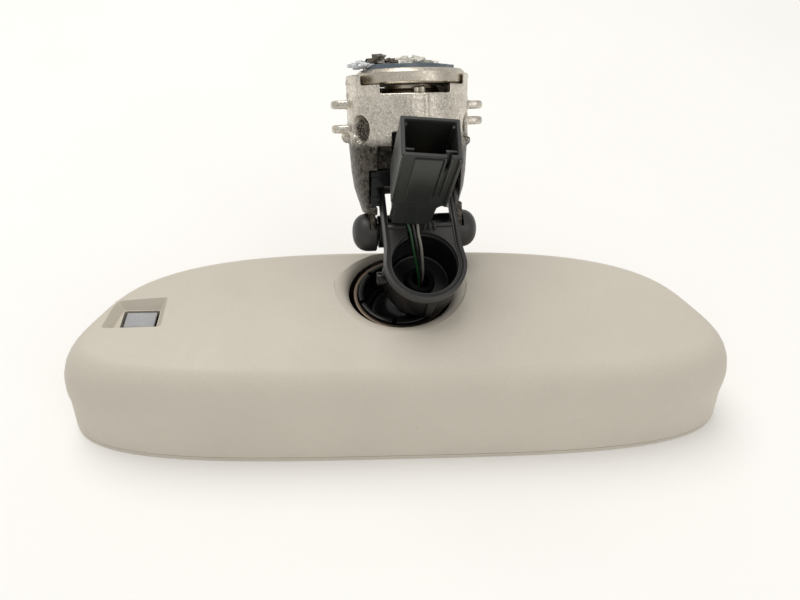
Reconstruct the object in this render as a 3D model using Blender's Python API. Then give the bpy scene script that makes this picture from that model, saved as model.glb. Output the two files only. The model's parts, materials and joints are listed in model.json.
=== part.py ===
"""Interior rearview mirror: a dimming mirror head on a ball joint, a tubular arm that carries
an electrical connector, and a cast foot that clips to a button bonded to the windscreen.
The head lies glass down, with its glass towards -Z and its long side along X."""

import math

import bmesh
import bpy
from mathutils import Matrix, Vector

MM = 0.001  # every dimension below is in millimetres

# Mirror head: a rounded trapezium in plan, wider at its lower edge (-Y)
HEAD_CENTRE = (0.17, -14.3)
HEAD_WIDTH = 237.4
HEAD_DEPTH = 80.0
HEAD_TAPER = 0.157
LOWER_SQUARENESS = 3.5
UPPER_SQUARENESS = 3.08
WALL_TOP = 17.2
SHOULDER_TOP = 40.8
SHOULDER_INSET = 11.4
DRAFT = 2.0
CROWN = 3.1
SHELL = 2.2
HEAD_STEPS = 52
SHOULDER_STEPS = 4

# Hole in the back of the head
HOLE_CENTRE = (0.9, 10.6)
HOLE_LIP_RADIUS = 25.0
HOLE_RADIUS = 19.8
HOLE_DEPTH = 5.6
HOLE_LIP_TOP = 43.1
COLLAR_RADIUS = 27.2
CROWN_CENTRE_RADIUS = 12.0

# Glass stack, measured up from the front face of the bezel
BEZEL_TOP = 2.2
BEZEL_LIP = 5.6
TONGUE = (3.0, 3.9)
TONGUE_TOP = 6.4
FRONT_GLASS = (1.4, 3.0)
SEAL = (3.3, 3.7)
REAR_GLASS = (4.0, 5.4)
PAD = (5.7, 6.4)
CLIP = (5.7, 6.0)
CARRIER = (6.7, 8.5)
BOARD = (12.0, 13.6)
GAP = 0.3

# Circuit board, its screws and its sensors
WINDOW = (-95.6, -1.2)
GLARE_PLACE = (-68.0, -6.0)
BOARD_SCREWS = ((-36.0, -13.0), (-82.0, 15.0))
BOARD_LEFT, BOARD_RIGHT = -101.0, -29.0
BOARD_LOW, BOARD_HIGH = -18.0, 20.0

# Ball joint
BALL_CENTRE = (0.9, 10.6, 25.2)
BALL_RADIUS = 10.0
LINER = (10.3, 11.6)
SOCKET = (11.9, 14.4)
SOCKET_RISE = 3.0
SLEEVE = (14.4, 16.2)
SLEEVE_TOP = 38.2
SOCKET_FOOT_RADIUS = 23.4
SOCKET_FOOT = (8.8, 10.8)
SCREW_CIRCLE = 19.8
SCREW_SHANK = 1.2
SCREW_HOLE = 1.5

# Arm, hinge and foot axes; the arm's root is where the tube's axis meets the foot's axis
ARM_ROOT = (6.7, 10.4, 36.6)
LEAN_BACK = 32.0
LEAN_SIDE = -1.0
SWIVEL = 7.0
TUBE_LEAN = 52.0
HINGE_REACH = 24.8

# Arm tube, along its own axis from the arm's root
TUBE_RADIUS = 13.6
TUBE_BORE = 11.5
TUBE_START = 7.8
TUBE_FLOOR = 10.4
TUBE_END = 25.5
NECK_RADIUS = 5.4
WIRE_BORE = 3.4
WIRE_FLARE = 5.4
BALL_OPENING = -48

# Hinge
BARREL_RADIUS = 6.0
BARREL_HALF = 14.0
AXLE_RADIUS = 3.0
AXLE_HALF = 20.5
CAP_RADIUS = 7.1
CAP_SPAN = (14.8, 17.5, 23.4)
CHEEK = (15.0, 17.2)
CHEEK_RADIUS = 6.1

# Shroud round the mouth of the tube
SHROUD = (25.8, 28.8)
SHROUD_RADIUS = 14.7
SHROUD_BORE = 11.8
RAIL_HALF = 13.8
RAIL_WIDTH = 2.4
RAIL_TOPS = (30.0, 40.0)
NOTCH = (-5.0, -0.1)
BAR_TOP = 15.2

# Connector, along the tube axis
CONNECTOR_SIZE = (18.3, 14.4)
CONNECTOR_PLACE = (-3.6, 18.8, 31.0)
CONNECTOR_LENGTH = 43.0
CONNECTOR_TILT = 2.0
CONNECTOR_TURN = -5.0
CONNECTOR_WALL = 1.4
SOCKET_FLOOR = 21.0

# Wires: colour, place beside the middle of the connector, place beside the middle of the ball
WIRE_RADIUS = 0.65
HEAD_WIRE_SPREAD = 1.35
HEAD_WIRE_START = 7.7
ARM_WIRE_END = -6.6
WIRES = (("green", -2.6, -1.45), ("black", 0.0, 0.0), ("grey", 2.6, 1.45))

# Foot
FOOT_RADIUS = 21.6
FOOT_WALL = 3.2
FOOT_SPAN = (56.6, 76.5)
EAR_TOP = 80.2
FOOT_OFFSET = -1.9
FORK_GAP = 15.0
FORK_RADIUS = 17.3
FORK_SHOULDER = 20.8
BOSS_BORE = 14.0
BUTTON_RADIUS = 19.2
BUTTON_OFFSET = 1.4
BUTTON = (76.8, 81.8)

ROUND = 24
SMALL_ROUND = 12
SPHERE_STEPS = 7


# ---------------------------------------------------------------- helpers

def clear_scene():
    for obj in list(bpy.data.objects):
        bpy.data.objects.remove(obj, do_unlink=True)


def make_material(name, colour, roughness, metallic=0.0, alpha=1.0):
    material = bpy.data.materials.new(name)
    material.use_nodes = True
    shader = material.node_tree.nodes["Principled BSDF"]
    shader.inputs["Base Color"].default_value = (*colour, 1.0)
    shader.inputs["Roughness"].default_value = roughness
    shader.inputs["Metallic"].default_value = metallic
    shader.inputs["Alpha"].default_value = alpha
    return material


def make_empty(name, place, rotation=Matrix(), parent=None):
    empty = bpy.data.objects.new(name, None)
    empty.empty_display_size = 10 * MM
    empty.parent = parent
    empty.matrix_local = Matrix.Translation(Vector(place) * MM) @ rotation
    bpy.context.scene.collection.objects.link(empty)
    return empty


def make_object(name, bm, material, parent):
    """Finish a mesh that was drawn in millimetres in its parent's frame."""
    bmesh.ops.remove_doubles(bm, verts=bm.verts, dist=0.0005)
    bmesh.ops.recalc_face_normals(bm, faces=bm.faces)
    bmesh.ops.scale(bm, vec=(MM, MM, MM), verts=bm.verts)
    mesh = bpy.data.meshes.new(name)
    bm.to_mesh(mesh)
    bm.free()
    mesh.shade_smooth()
    mesh.set_sharp_from_angle(angle=math.radians(35))
    obj = bpy.data.objects.new(name, mesh)
    obj.parent = parent
    if material:
        mesh.materials.append(material)
    bpy.context.scene.collection.objects.link(obj)
    return obj


def cutter(bm, parent):
    obj = make_object("cutter", bm, None, parent)
    obj.hide_render = True
    obj.display_type = "WIRE"
    return obj


def combine(obj, tool, operation="DIFFERENCE"):
    modifier = obj.modifiers.new(operation.title(), "BOOLEAN")
    modifier.operation = operation
    modifier.object = tool
    return obj


def turned(profile, steps=ROUND, centre=(0, 0)):
    """Spin a closed outline of (radius, height) points about Z."""
    bm = bmesh.new()
    verts = [bm.verts.new((radius, 0, height)) for radius, height in profile]
    edges = [bm.edges.new((verts[i - 1], verts[i])) for i in range(len(verts))]
    bmesh.ops.spin(bm, geom=verts + edges, axis=(0, 0, 1), cent=(0, 0, 0),
                   angle=math.tau, steps=steps, use_merge=True)
    bmesh.ops.remove_doubles(bm, verts=bm.verts, dist=0.0005)
    bmesh.ops.translate(bm, vec=(*centre, 0), verts=bm.verts)
    return bm


def solid_disc(radius, low, high, centre=(0, 0), steps=ROUND):
    return turned([(0, low), (radius, low), (radius, high), (0, high)], steps, centre)


def along_x(bm, place=(0, 0, 0)):
    """Lay a turned shape down so that its axis runs along X through a place."""
    turn = Matrix.Translation(place) @ Matrix.Rotation(math.pi / 2, 4, "Y")
    bmesh.ops.transform(bm, matrix=turn, verts=bm.verts)
    return bm


def loft(loops, ring=False):
    """Join matching loops of points by quads; a ring loft closes on its first loop."""
    bm = bmesh.new()
    rows = [[bm.verts.new(point) for point in loop] for loop in loops]
    count = len(rows[0])
    pairs = list(zip(rows, rows[1:]))
    if ring:
        pairs.append((rows[-1], rows[0]))
    for low, high in pairs:
        for i in range(count):
            bm.faces.new((low[i - 1], low[i], high[i], high[i - 1]))
    if not ring:
        bm.faces.new(rows[0])
        bm.faces.new(rows[-1])
    return bm


def prism(points, low, high):
    return loft([[(x, y, z) for x, y in points] for z in (low, high)])


def block(low, high):
    bm = bmesh.new()
    size = [b - a for a, b in zip(low, high)]
    middle = [(a + b) / 2 for a, b in zip(low, high)]
    bmesh.ops.create_cube(bm, size=1, matrix=Matrix.Translation(middle) @ Matrix.Diagonal((*size, 1)))
    return bm


def merged(*parts):
    """Several separate shapes in one mesh, for a cutter."""
    bm = bmesh.new()
    for part in parts:
        mesh = bpy.data.meshes.new("scratch")
        part.to_mesh(mesh)
        part.free()
        bm.from_mesh(mesh)
        bpy.data.meshes.remove(mesh)
    return bm


def arc(radius, start, end, steps, centre=(0, 0)):
    """Points of an arc in degrees, both ends included."""
    turns = [math.radians(start + (end - start) * i / steps) for i in range(steps + 1)]
    return [(centre[0] + radius * math.cos(a), centre[1] + radius * math.sin(a)) for a in turns]


def bevelled(obj, width, segments=2):
    modifier = obj.modifiers.new("Bevel", "BEVEL")
    modifier.width = width * MM
    modifier.segments = segments
    modifier.limit_method = "ANGLE"
    return obj


# ---------------------------------------------------------------- head outline

def evenly(points, count):
    """Spread a closed outline's points evenly along its length."""
    closed = [Vector(p) for p in points] + [Vector(points[0])]
    lengths = [0.0]
    for a, b in zip(closed, closed[1:]):
        lengths.append(lengths[-1] + (b - a).length)
    spread, k = [], 0
    for i in range(count):
        target = lengths[-1] * i / count
        while lengths[k + 1] < target:
            k += 1
        part = (target - lengths[k]) / (lengths[k + 1] - lengths[k])
        spread.append(tuple(closed[k].lerp(closed[k + 1], part)))
    return spread


def head_outline(inset, steps=HEAD_STEPS):
    half_width = HEAD_WIDTH / 2 - inset
    half_depth = HEAD_DEPTH / 2 - inset
    points = []
    fine = 8 * steps
    for i in range(fine):
        turn = math.tau * i / fine
        across, along = math.cos(turn), math.sin(turn)
        power = 2 / (LOWER_SQUARENESS if along < 0 else UPPER_SQUARENESS)
        px = math.copysign(abs(across) ** power, across)
        py = math.copysign(abs(along) ** power, along)
        points.append((px * half_width * (1 - HEAD_TAPER * py), py * half_depth))
    return evenly(points, steps)


def crown_height(x, y):
    """Height of the gently domed back above a point of the plan."""
    inset = DRAFT + SHOULDER_INSET
    py = y / (HEAD_DEPTH / 2 - inset)
    px = x / ((HEAD_WIDTH / 2 - inset) * (1 - HEAD_TAPER * py))
    power = LOWER_SQUARENESS
    reach = (abs(px) ** power + abs(py) ** power) ** (1 / power)
    return SHOULDER_TOP + CROWN * (1 - min(reach, 1) ** 2)


def wall_profile(thickness):
    """(inset, height) pairs up the side wall and over the shoulder."""
    pairs = [(thickness, BEZEL_TOP + GAP), (DRAFT + thickness, WALL_TOP)]
    for i in range(1, SHOULDER_STEPS + 1):
        turn = math.radians(90) * i / SHOULDER_STEPS
        inset = DRAFT + thickness + (SHOULDER_INSET - thickness * 0.4) * (1 - math.cos(turn))
        height = WALL_TOP + (SHOULDER_TOP - thickness - WALL_TOP) * math.sin(turn)
        pairs.append((inset, height))
    return pairs


def head_loops(thickness):
    """Loops of one skin of the housing, from its lower edge to the middle of its back."""
    loops = []
    for inset, height in wall_profile(thickness):
        loops.append([(x, y, height) for x, y in head_outline(inset)])
    edge = loops[-1]
    for part in (0.2, 0.4, 0.6, 0.8, 1.0):
        loop = []
        for x, y, _ in edge:
            middle = hole_point(x, y, CROWN_CENTRE_RADIUS)
            px = x + (middle[0] - x) * part
            py = y + (middle[1] - y) * part
            loop.append((px, py, crown_height(px, py) - thickness))
        loops.append(loop)
    return loops


def hole_point(x, y, radius):
    turn = math.atan2(y - HOLE_CENTRE[1], x - HOLE_CENTRE[0])
    return HOLE_CENTRE[0] + radius * math.cos(turn), HOLE_CENTRE[1] + radius * math.sin(turn)


def hole_shape():
    """Rounded funnel that opens the back of the housing round the arm."""
    drop = HOLE_LIP_RADIUS - HOLE_RADIUS
    start = HOLE_LIP_TOP - HOLE_DEPTH
    profile = [(0, SHOULDER_TOP / 2), (HOLE_RADIUS, SHOULDER_TOP / 2)]
    for turn in (0, 30, 60, 90):
        part = math.radians(turn)
        profile.append((HOLE_LIP_RADIUS - drop * math.cos(part), start + HOLE_DEPTH * math.sin(part)))
    profile += [(HOLE_LIP_RADIUS, HOLE_LIP_TOP + 4), (0, HOLE_LIP_TOP + 4)]
    return turned(profile, 48, HOLE_CENTRE)


# ---------------------------------------------------------------- head parts

def frustum(low_size, high_size, low, high, centre):
    loops = []
    for (width, depth), z in ((low_size, low), (high_size, high)):
        corners = ((-1, -1), (1, -1), (1, 1), (-1, 1))
        loops.append([(centre[0] + sx * width / 2, centre[1] + sy * depth / 2, z) for sx, sy in corners])
    return loft(loops)


def build_rear_housing(frame, plastic):
    inner = head_loops(SHELL)
    inner.insert(0, [(x, y, 0) for x, y, _ in inner[0]])
    collar_low, collar_high = HOLE_LIP_TOP - HOLE_DEPTH - 0.6, SHOULDER_TOP + CROWN + 2
    collar = turned([(HOLE_RADIUS - 1, collar_low), (COLLAR_RADIUS, collar_low),
                     (COLLAR_RADIUS, collar_high), (HOLE_RADIUS - 1, collar_high)], 48, HOLE_CENTRE)
    hollow = cutter(loft(inner), frame)
    combine(hollow, cutter(collar, frame))
    housing = make_object("rear_housing", loft(head_loops(0)), plastic, frame)
    combine(housing, hollow)
    combine(housing, cutter(hole_shape(), frame))
    pocket = frustum((16.6, 12.6), (20.5, 15.0), 34.6, 40.6, WINDOW)
    funnel = frustum((14.0, 9.8), (20.0, 14.6), 38.0, 43.6, WINDOW)
    throat = frustum((11.6, 7.6), (11.6, 7.6), 33.0, 39.0, WINDOW)
    combine(housing, cutter(pocket, frame), "UNION")
    combine(housing, cutter(funnel, frame))
    combine(housing, cutter(throat, frame))


def ring_from(pairs):
    return loft([[(x, y, z) for x, y in head_outline(inset)] for inset, z in pairs], ring=True)


def build_bezel(frame, plastic):
    section = [(0.7, 0), (0, 0.7), (0, BEZEL_TOP), (TONGUE[0], BEZEL_TOP), (TONGUE[0], TONGUE_TOP),
               (TONGUE[1], TONGUE_TOP), (TONGUE[1], 1.1), (BEZEL_LIP - 0.4, 1.1), (BEZEL_LIP, 0.6),
               (BEZEL_LIP, 0)]
    make_object("bezel_ring", ring_from(section), plastic, frame)


def build_glass(frame, glass, mirror, rubber, foam, copper):
    make_object("front_glass", prism(head_outline(4.2), *FRONT_GLASS), glass, frame)
    seal = ring_from([(5.2, SEAL[0]), (5.2, SEAL[1]), (6.6, SEAL[1]), (6.6, SEAL[0])])
    make_object("glass_seal", seal, rubber, frame)
    make_object("rear_glass", prism(head_outline(4.8), *REAR_GLASS), mirror, frame)
    pad = make_object("foam_pad", prism(head_outline(13), *PAD), foam, frame)
    combine(pad, cutter(solid_disc(5, 5, 9, GLARE_PLACE, 20), frame))
    for name, side in (("bus_clip_upper", 1), ("bus_clip_lower", -1)):
        inner, outer, tab = side * 29.5, side * 32.5, side * 27.8
        strip = [(-62, inner), (-62, outer), (62, outer), (62, inner), (-48, inner), (-48, tab), (-53, tab),
                 (-53, inner)]
        make_object(name, prism(strip, *CLIP), copper, frame)


def screw_places():
    return arc(SCREW_CIRCLE, 45, 315, 3, HOLE_CENTRE)


def build_carrier(frame, plastic):
    carrier = make_object("glass_carrier", prism(head_outline(3.5), *CARRIER), plastic, frame)
    bosses = [solid_disc(3.4, CARRIER[0] + 0.4, BOARD[0] - GAP, place, 16) for place in BOARD_SCREWS]
    for boss in bosses:
        combine(carrier, cutter(boss, frame), "UNION")
    holes = [solid_disc(SCREW_HOLE, 5, 16, place, 12) for place in list(BOARD_SCREWS) + screw_places()]
    holes.append(solid_disc(5, 5, 9, GLARE_PLACE, 20))
    combine(carrier, cutter(merged(*holes), frame))


def screw(low, seat):
    """Pan-head screw from its tip to its seat."""
    return turned([(0, low), (SCREW_SHANK * 0.6, low), (SCREW_SHANK, low + 0.8), (SCREW_SHANK, seat),
                   (2.8, seat), (2.8, seat + 1.1), (1.9, seat + 1.8), (0, seat + 1.8)], SMALL_ROUND)


def build_screws(frame, steel):
    for i, place in enumerate(screw_places()):
        bm = screw(7.0, SOCKET_FOOT[1] + GAP)
        bmesh.ops.translate(bm, vec=(*place, 0), verts=bm.verts)
        make_object(f"socket_screw_{i + 1}", bm, steel, frame)
    for i, place in enumerate(BOARD_SCREWS):
        bm = screw(7.2, BOARD[1] + GAP)
        bmesh.ops.translate(bm, vec=(*place, 0), verts=bm.verts)
        make_object(f"board_screw_{i + 1}", bm, steel, frame)


def build_electronics(frame, board, chip, white, clear, sensor):
    low, high = BOARD
    outline = [(BOARD_LEFT, BOARD_LOW + 8), (BOARD_LEFT + 8, BOARD_LOW), (BOARD_RIGHT, BOARD_LOW),
               (BOARD_RIGHT, BOARD_HIGH), (BOARD_LEFT + 12, BOARD_HIGH), (BOARD_LEFT, BOARD_HIGH - 10)]
    plate = make_object("circuit_board", prism(outline, low, high), board, frame)
    holes = [solid_disc(SCREW_HOLE, low - 1, high + 1, place, 12) for place in BOARD_SCREWS]
    combine(plate, cutter(merged(*holes), frame))
    top = high + GAP
    chip_low, chip_high = (-64, -5, top), (-52, 7, top + 1.6)
    bevelled(make_object("control_chip", block(chip_low, chip_high), chip, frame), 0.3)
    capacitor = solid_disc(3.2, top, top + 5.4, (-46, 13), 20)
    make_object("capacitor", capacitor, chip, frame)
    header = make_object("board_connector", block((-43, -4, top), (-33, 8, top + 7)), white, frame)
    combine(header, cutter(block((-41.8, -2.8, top + 1.2), (-31, 6.8, top + 5.8)), frame))
    make_object("glare_sensor", solid_disc(3.5, 5.8, low - GAP, GLARE_PLACE, 20), sensor, frame)
    x, y = WINDOW
    bevelled(make_object("ambient_sensor", block((x - 3, y - 3, top), (x + 3, y + 3, top + 2.2)), sensor,
                         frame), 0.4)
    make_object("light_pipe", solid_disc(2.8, top + 2.5, 36.0, WINDOW, 20), clear, frame)
    lens = block((x - 5.5, y - 3.5, 36.3), (x + 5.5, y + 3.5, 37.5))
    bevelled(make_object("sensor_window", lens, clear, frame), 0.3)


# ---------------------------------------------------------------- ball joint

def zone(radius, start, end, steps):
    """Points (radius, height) on a sphere between two latitudes in degrees."""
    return arc(radius, start, end, steps)


def raised(profile, height):
    return [(radius, z + height) for radius, z in profile]


def build_socket(frame, black):
    """Cup round the ball, with a slotted sleeve that stands up inside the hole of the housing."""
    x, y, z = BALL_CENTRE
    cavity, outer = SOCKET
    rim = zone(cavity, math.degrees(math.asin(SOCKET_RISE / cavity)), -68, SPHERE_STEPS)
    foot_low, foot_high = SOCKET_FOOT
    sleeve_in, sleeve_out = SLEEVE
    lip = z + SOCKET_RISE
    profile = [(SOCKET_FOOT_RADIUS, foot_low), (SOCKET_FOOT_RADIUS, foot_high), (sleeve_out, foot_high),
               (sleeve_out, SLEEVE_TOP - 0.8), (sleeve_out - 0.8, SLEEVE_TOP), (sleeve_in, SLEEVE_TOP),
               (sleeve_in, lip + 3.0), (sleeve_in - 1.2, lip)]
    profile += raised(rim, z)
    profile.append((rim[-1][0], foot_low))
    socket = make_object("ball_socket", turned(profile, ROUND, (x, y)), black, frame)
    for turn in (20, 80, 140):
        slot = block((-20, -0.9, lip + 1.5), (20, 0.9, SLEEVE_TOP + 2))
        bmesh.ops.rotate(slot, matrix=Matrix.Rotation(math.radians(turn), 3, "Z"), verts=slot.verts)
        bmesh.ops.translate(slot, vec=(x, y, 0), verts=slot.verts)
        combine(socket, cutter(slot, frame))
    combine(socket, cutter(block((x - 30, y - 3.2, foot_high + 0.6), (x, y + 3.2, foot_high + 5)), frame))
    holes = [solid_disc(SCREW_HOLE, 7, 13, place, 12) for place in screw_places()]
    combine(socket, cutter(merged(*holes), frame))


def build_ball_joint(frame, ball_frame, steel, liner):
    x, y, _ = BALL_CENTRE
    outer = SLEEVE[1]
    low, high = SLEEVE_TOP - 5.2, SLEEVE_TOP - 1.0
    ring = [(outer + GAP, low), (outer + 1.8, low), (outer + 1.8, high), (outer + GAP, high)]
    make_object("retaining_ring", turned(ring, ROUND, (x, y)), steel, frame)
    inner, outside = LINER
    for name, start, end in (("upper_ball_liner", 2, 13), ("lower_ball_liner", -40, -14)):
        profile = zone(outside, start, end, 2) + zone(inner, end, start, 2)
        make_object(name, turned(profile), liner, ball_frame)


def build_pivot_ball(stud_frame, reach, black):
    """Hollow ball with a stud that leans from the ball's centre to the floor of the tube."""
    neck = math.degrees(math.acos(NECK_RADIUS / BALL_RADIUS))
    top = reach + 2.0
    profile = zone(BALL_RADIUS, BALL_OPENING, neck, SPHERE_STEPS)
    profile += [(NECK_RADIUS, top), (WIRE_BORE, top), (WIRE_BORE, 0), (WIRE_FLARE, profile[0][1])]
    make_object("pivot_ball", turned(profile), black, stud_frame)


# ---------------------------------------------------------------- arm

def hinge_in_tube():
    lean = math.radians(TUBE_LEAN)
    return HINGE_REACH * math.sin(lean), HINGE_REACH * math.cos(lean)


def build_arm_body(tube_frame, stud_frame, reach, black):
    seat = NECK_RADIUS + GAP
    profile = [(0, TUBE_START), (TUBE_RADIUS - 3.6, TUBE_START), (TUBE_RADIUS - 1.0, TUBE_START + 1.0),
               (TUBE_RADIUS, TUBE_START + 3.6), (TUBE_RADIUS, TUBE_END), (TUBE_BORE, TUBE_END),
               (TUBE_BORE, TUBE_FLOOR + 1.0), (TUBE_BORE - 1.0, TUBE_FLOOR), (0, TUBE_FLOOR)]
    arm = make_object("arm_body", turned(profile), black, tube_frame)
    y, z = hinge_in_tube()
    web = block((-7, TUBE_RADIUS - 1.0, z - 3.5), (7, y - 3.8, z + 4.0))
    barrel = along_x(turned([(AXLE_RADIUS + GAP, -BARREL_HALF), (BARREL_RADIUS, -BARREL_HALF),
                             (BARREL_RADIUS, BARREL_HALF), (AXLE_RADIUS + GAP, BARREL_HALF)], 24), (0, y, z))
    combine(arm, cutter(web, tube_frame), "UNION")
    combine(arm, cutter(barrel, tube_frame), "UNION")
    boss = along_x(solid_disc(2.4, -16.4, -12.4, steps=16), (0, -1.0, 18.0))
    combine(arm, cutter(boss, tube_frame), "UNION")
    tab = block((-0.4, -TUBE_RADIUS - 1.0, TUBE_START + 3), (2.8, -TUBE_RADIUS + 1.0, TUBE_END - 0.3))
    combine(arm, cutter(tab, tube_frame), "UNION")
    combine(arm, cutter(solid_disc(seat, reach - 6, reach + 6), stud_frame))


def shroud_outline(radius, rail, left_top, right_top):
    """Round at the bottom, straight up both sides to the tops of the rails."""
    turn = math.degrees(math.acos(rail / radius))
    return arc(radius, 180 - turn, 360 + turn, 24) + [(rail, right_top), (-rail, left_top)]


def build_shroud(tube_frame, black):
    low, high = SHROUD
    plate = prism(shroud_outline(SHROUD_RADIUS, RAIL_HALF, *RAIL_TOPS), low, high)
    shroud = make_object("arm_shroud", plate, black, tube_frame)
    gap_half = RAIL_HALF - RAIL_WIDTH
    face_top = BAR_TOP - 1.4
    face = prism(shroud_outline(SHROUD_RADIUS - 2.2, gap_half, face_top, face_top), high - 1, high + 1)
    window = block((-gap_half, BAR_TOP, low - 1), (gap_half, RAIL_TOPS[1] + 1, high + 1))
    above_left = block((-RAIL_HALF - 1, RAIL_TOPS[0], low - 1), (gap_half, RAIL_TOPS[1] + 1, high + 1))
    notch = block((NOTCH[0], SHROUD_BORE - 3, low - 1), (NOTCH[1], BAR_TOP + 1, high + 1))
    for tool in (face, solid_disc(SHROUD_BORE, low - 1, high + 1), window, above_left, notch):
        combine(shroud, cutter(tool, tube_frame))


def connector_section(width, depth, height):
    corners = ((-1, -1), (1, -1), (1, 1), (-1, 1))
    return [(sx * width / 2, sy * depth / 2, height) for sx, sy in corners]


def build_connector(connector_frame, black, brass):
    width, depth = CONNECTOR_SIZE
    high = CONNECTOR_LENGTH
    sections = [connector_section(13.4, 10.5, 0), connector_section(14.4, 11.6, 12),
                connector_section(width, depth, 17), connector_section(width, depth, high)]
    housing = make_object("connector_housing", loft(sections), black, connector_frame)
    inner = (width - 2 * CONNECTOR_WALL, depth - 2 * CONNECTOR_WALL)
    cavity = loft([connector_section(*inner, SOCKET_FLOOR), connector_section(*inner, high + 1)])
    combine(housing, cutter(cavity, connector_frame))
    passage = block((-4.2, -2.2, -1), (4.2, 2.2, SOCKET_FLOOR + 1))
    combine(housing, cutter(passage, connector_frame))
    base_low, base_high = SOCKET_FLOOR - 5, SOCKET_FLOOR + 1.5
    pins = make_object("connector_pins", block((-3.9, -1.9, base_low), (3.9, 1.9, base_high)), brass,
                       connector_frame)
    for side in (-2.6, 0, 2.6):
        blade = block((side - 0.4, -0.3, base_high - 2), (side + 0.4, 0.3, base_high + 9))
        combine(pins, cutter(blade, connector_frame), "UNION")


def smooth_route(route, count):
    """Points spread along a smooth curve through the route's own points."""
    points = [Vector(p) for p in route]
    points = [2 * points[0] - points[1]] + points + [2 * points[-1] - points[-2]]
    spans = len(points) - 3
    result = []
    for i in range(count + 1):
        place = spans * i / count
        k = min(int(place), spans - 1)
        t = place - k
        a, b, c, d = points[k:k + 4]
        result.append(0.5 * (2 * b + (c - a) * t + (2 * a - 5 * b + 4 * c - d) * t ** 2
                             + (3 * b - a - 3 * c + d) * t ** 3))
    return result


def make_wire(name, route, radius, count, material, parent):
    curve = bpy.data.curves.new(name, "CURVE")
    curve.dimensions = "3D"
    curve.bevel_depth = radius * MM
    curve.bevel_resolution = 1
    curve.use_fill_caps = True
    spline = curve.splines.new("POLY")
    places = smooth_route(route, count)
    spline.points.add(len(places) - 1)
    for point, place in zip(spline.points, places):
        point.co = (*(place * MM), 1)
    curve.materials.append(material)
    obj = bpy.data.objects.new(name, curve)
    obj.parent = parent
    bpy.context.scene.collection.objects.link(obj)


def build_wires(head_frame, ball_frame, frames, materials):
    """Wires from the connector through the tube and the ball, and on to the board."""
    stud_matrix, tube_matrix, connector_matrix = frames
    x, y, z = BALL_CENTRE
    for (name, pin, spread), material in zip(WIRES, materials):
        route = [connector_matrix @ Vector((pin, 0, height)) for height in (SOCKET_FLOOR - 5.4, 8, 1)]
        route += [tube_matrix @ Vector((spread - 2.55, 12.6, 28.0)),
                  tube_matrix @ Vector((spread - 1.2, 7.0, 22.5))]
        route += [stud_matrix @ Vector((spread, 0, height)) for height in (24, 16, 5, ARM_WIRE_END)]
        make_wire(f"arm_wire_{name}", route, WIRE_RADIUS, 20, material, ball_frame)
        beside = spread * HEAD_WIRE_SPREAD
        exit_low = SOCKET_FOOT[1] + 2.6
        board = (2 + beside, BOARD[1] + GAP + 3.5)
        route = [Vector((x, y, z)) + stud_matrix @ Vector((0, beside, -depth))
                 for depth in (HEAD_WIRE_START, 10)]
        route += [(x - 4, y + beside, exit_low + 1),
                  (x - 9, y + beside, exit_low), (x - 18, y + beside, exit_low + 0.2),
                  (x - 25, 6.5 + beside, exit_low + 2.5), (-30.5, *board), (-40.5, *board)]
        make_wire(f"head_wire_{name}", route, WIRE_RADIUS, 20, material, head_frame)


def build_hinge(hinge_frame, steel, black, washer):
    axle = along_x(solid_disc(AXLE_RADIUS, -AXLE_HALF, AXLE_HALF, steps=ROUND))
    make_object("hinge_axle", axle, steel, hinge_frame)
    skirt, low, high = CAP_SPAN
    hole = AXLE_RADIUS + GAP
    hollow = CHEEK_RADIUS + GAP
    dome = [(hole, low), (hollow, low), (hollow, skirt), (CAP_RADIUS, skirt), (CAP_RADIUS, low + 2.0),
            (CAP_RADIUS * 0.86, low + 4.0), (CAP_RADIUS * 0.55, high - 0.6), (0, high), (0, AXLE_HALF + GAP),
            (hole, AXLE_HALF + GAP)]
    for name, side in (("hinge_cap_right", 1), ("hinge_cap_left", -1)):
        bm = along_x(turned(dome, 20))
        if side < 0:
            bmesh.ops.rotate(bm, matrix=Matrix.Rotation(math.pi, 3, "Z"), verts=bm.verts)
        cap = make_object(name, bm, black, hinge_frame)
        ends = sorted((side * (skirt - 1), side * low))
        gate = block((ends[0], -9, 2.0), (ends[1], 9, 9))
        rear = block((ends[0], 3.0, -1.0), (ends[1], 9, 9))
        for tool in (gate, rear):
            combine(cap, cutter(tool, hinge_frame))
    for name, side in (("hinge_washer_right", 1), ("hinge_washer_left", -1)):
        low, high = BARREL_HALF + 0.3, BARREL_HALF + 0.7
        ring = turned([(AXLE_RADIUS + GAP, low), (5.4, low), (5.4, high), (AXLE_RADIUS + GAP, high)], 24)
        ring = along_x(ring)
        if side < 0:
            bmesh.ops.rotate(ring, matrix=Matrix.Rotation(math.pi, 3, "Z"), verts=ring.verts)
        make_object(name, ring, washer, hinge_frame)


# ---------------------------------------------------------------- foot

def lifted(value):
    """Height in the foot's frame, whose origin is on the hinge."""
    return value - HINGE_REACH


def foot_profile():
    low, high = FOOT_SPAN
    inner = FOOT_RADIUS - FOOT_WALL
    floor = high - 4.4
    seat = BUTTON_RADIUS + GAP - BUTTON_OFFSET
    return [(FORK_RADIUS, 16.0), (FORK_RADIUS, 32.0), (FORK_SHOULDER - 0.7, 41.5), (FORK_SHOULDER, 47.0),
            (FOOT_RADIUS, low + 4), (FOOT_RADIUS, EAR_TOP), (seat, EAR_TOP), (seat, high),
            (BOSS_BORE, high), (BOSS_BORE, floor), (inner, floor - 1.0), (inner, low),
            (FORK_SHOULDER - FOOT_WALL - 0.7, 41.5), (FORK_RADIUS - 2.6, 32.0), (FORK_RADIUS - 2.6, 16.0)]


def cheek_end(side):
    """Round-ended tongue that carries one cheek of the fork down to the axle."""
    outline = arc(CHEEK_RADIUS, 150, 370, 14) + [(7.0, 10.5), (-4.4, 10.5)]
    near, far = sorted((side * CHEEK[0], side * CHEEK[1]))
    return loft([[(x, y, z) for y, z in outline] for x in (near, far)])


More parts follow.
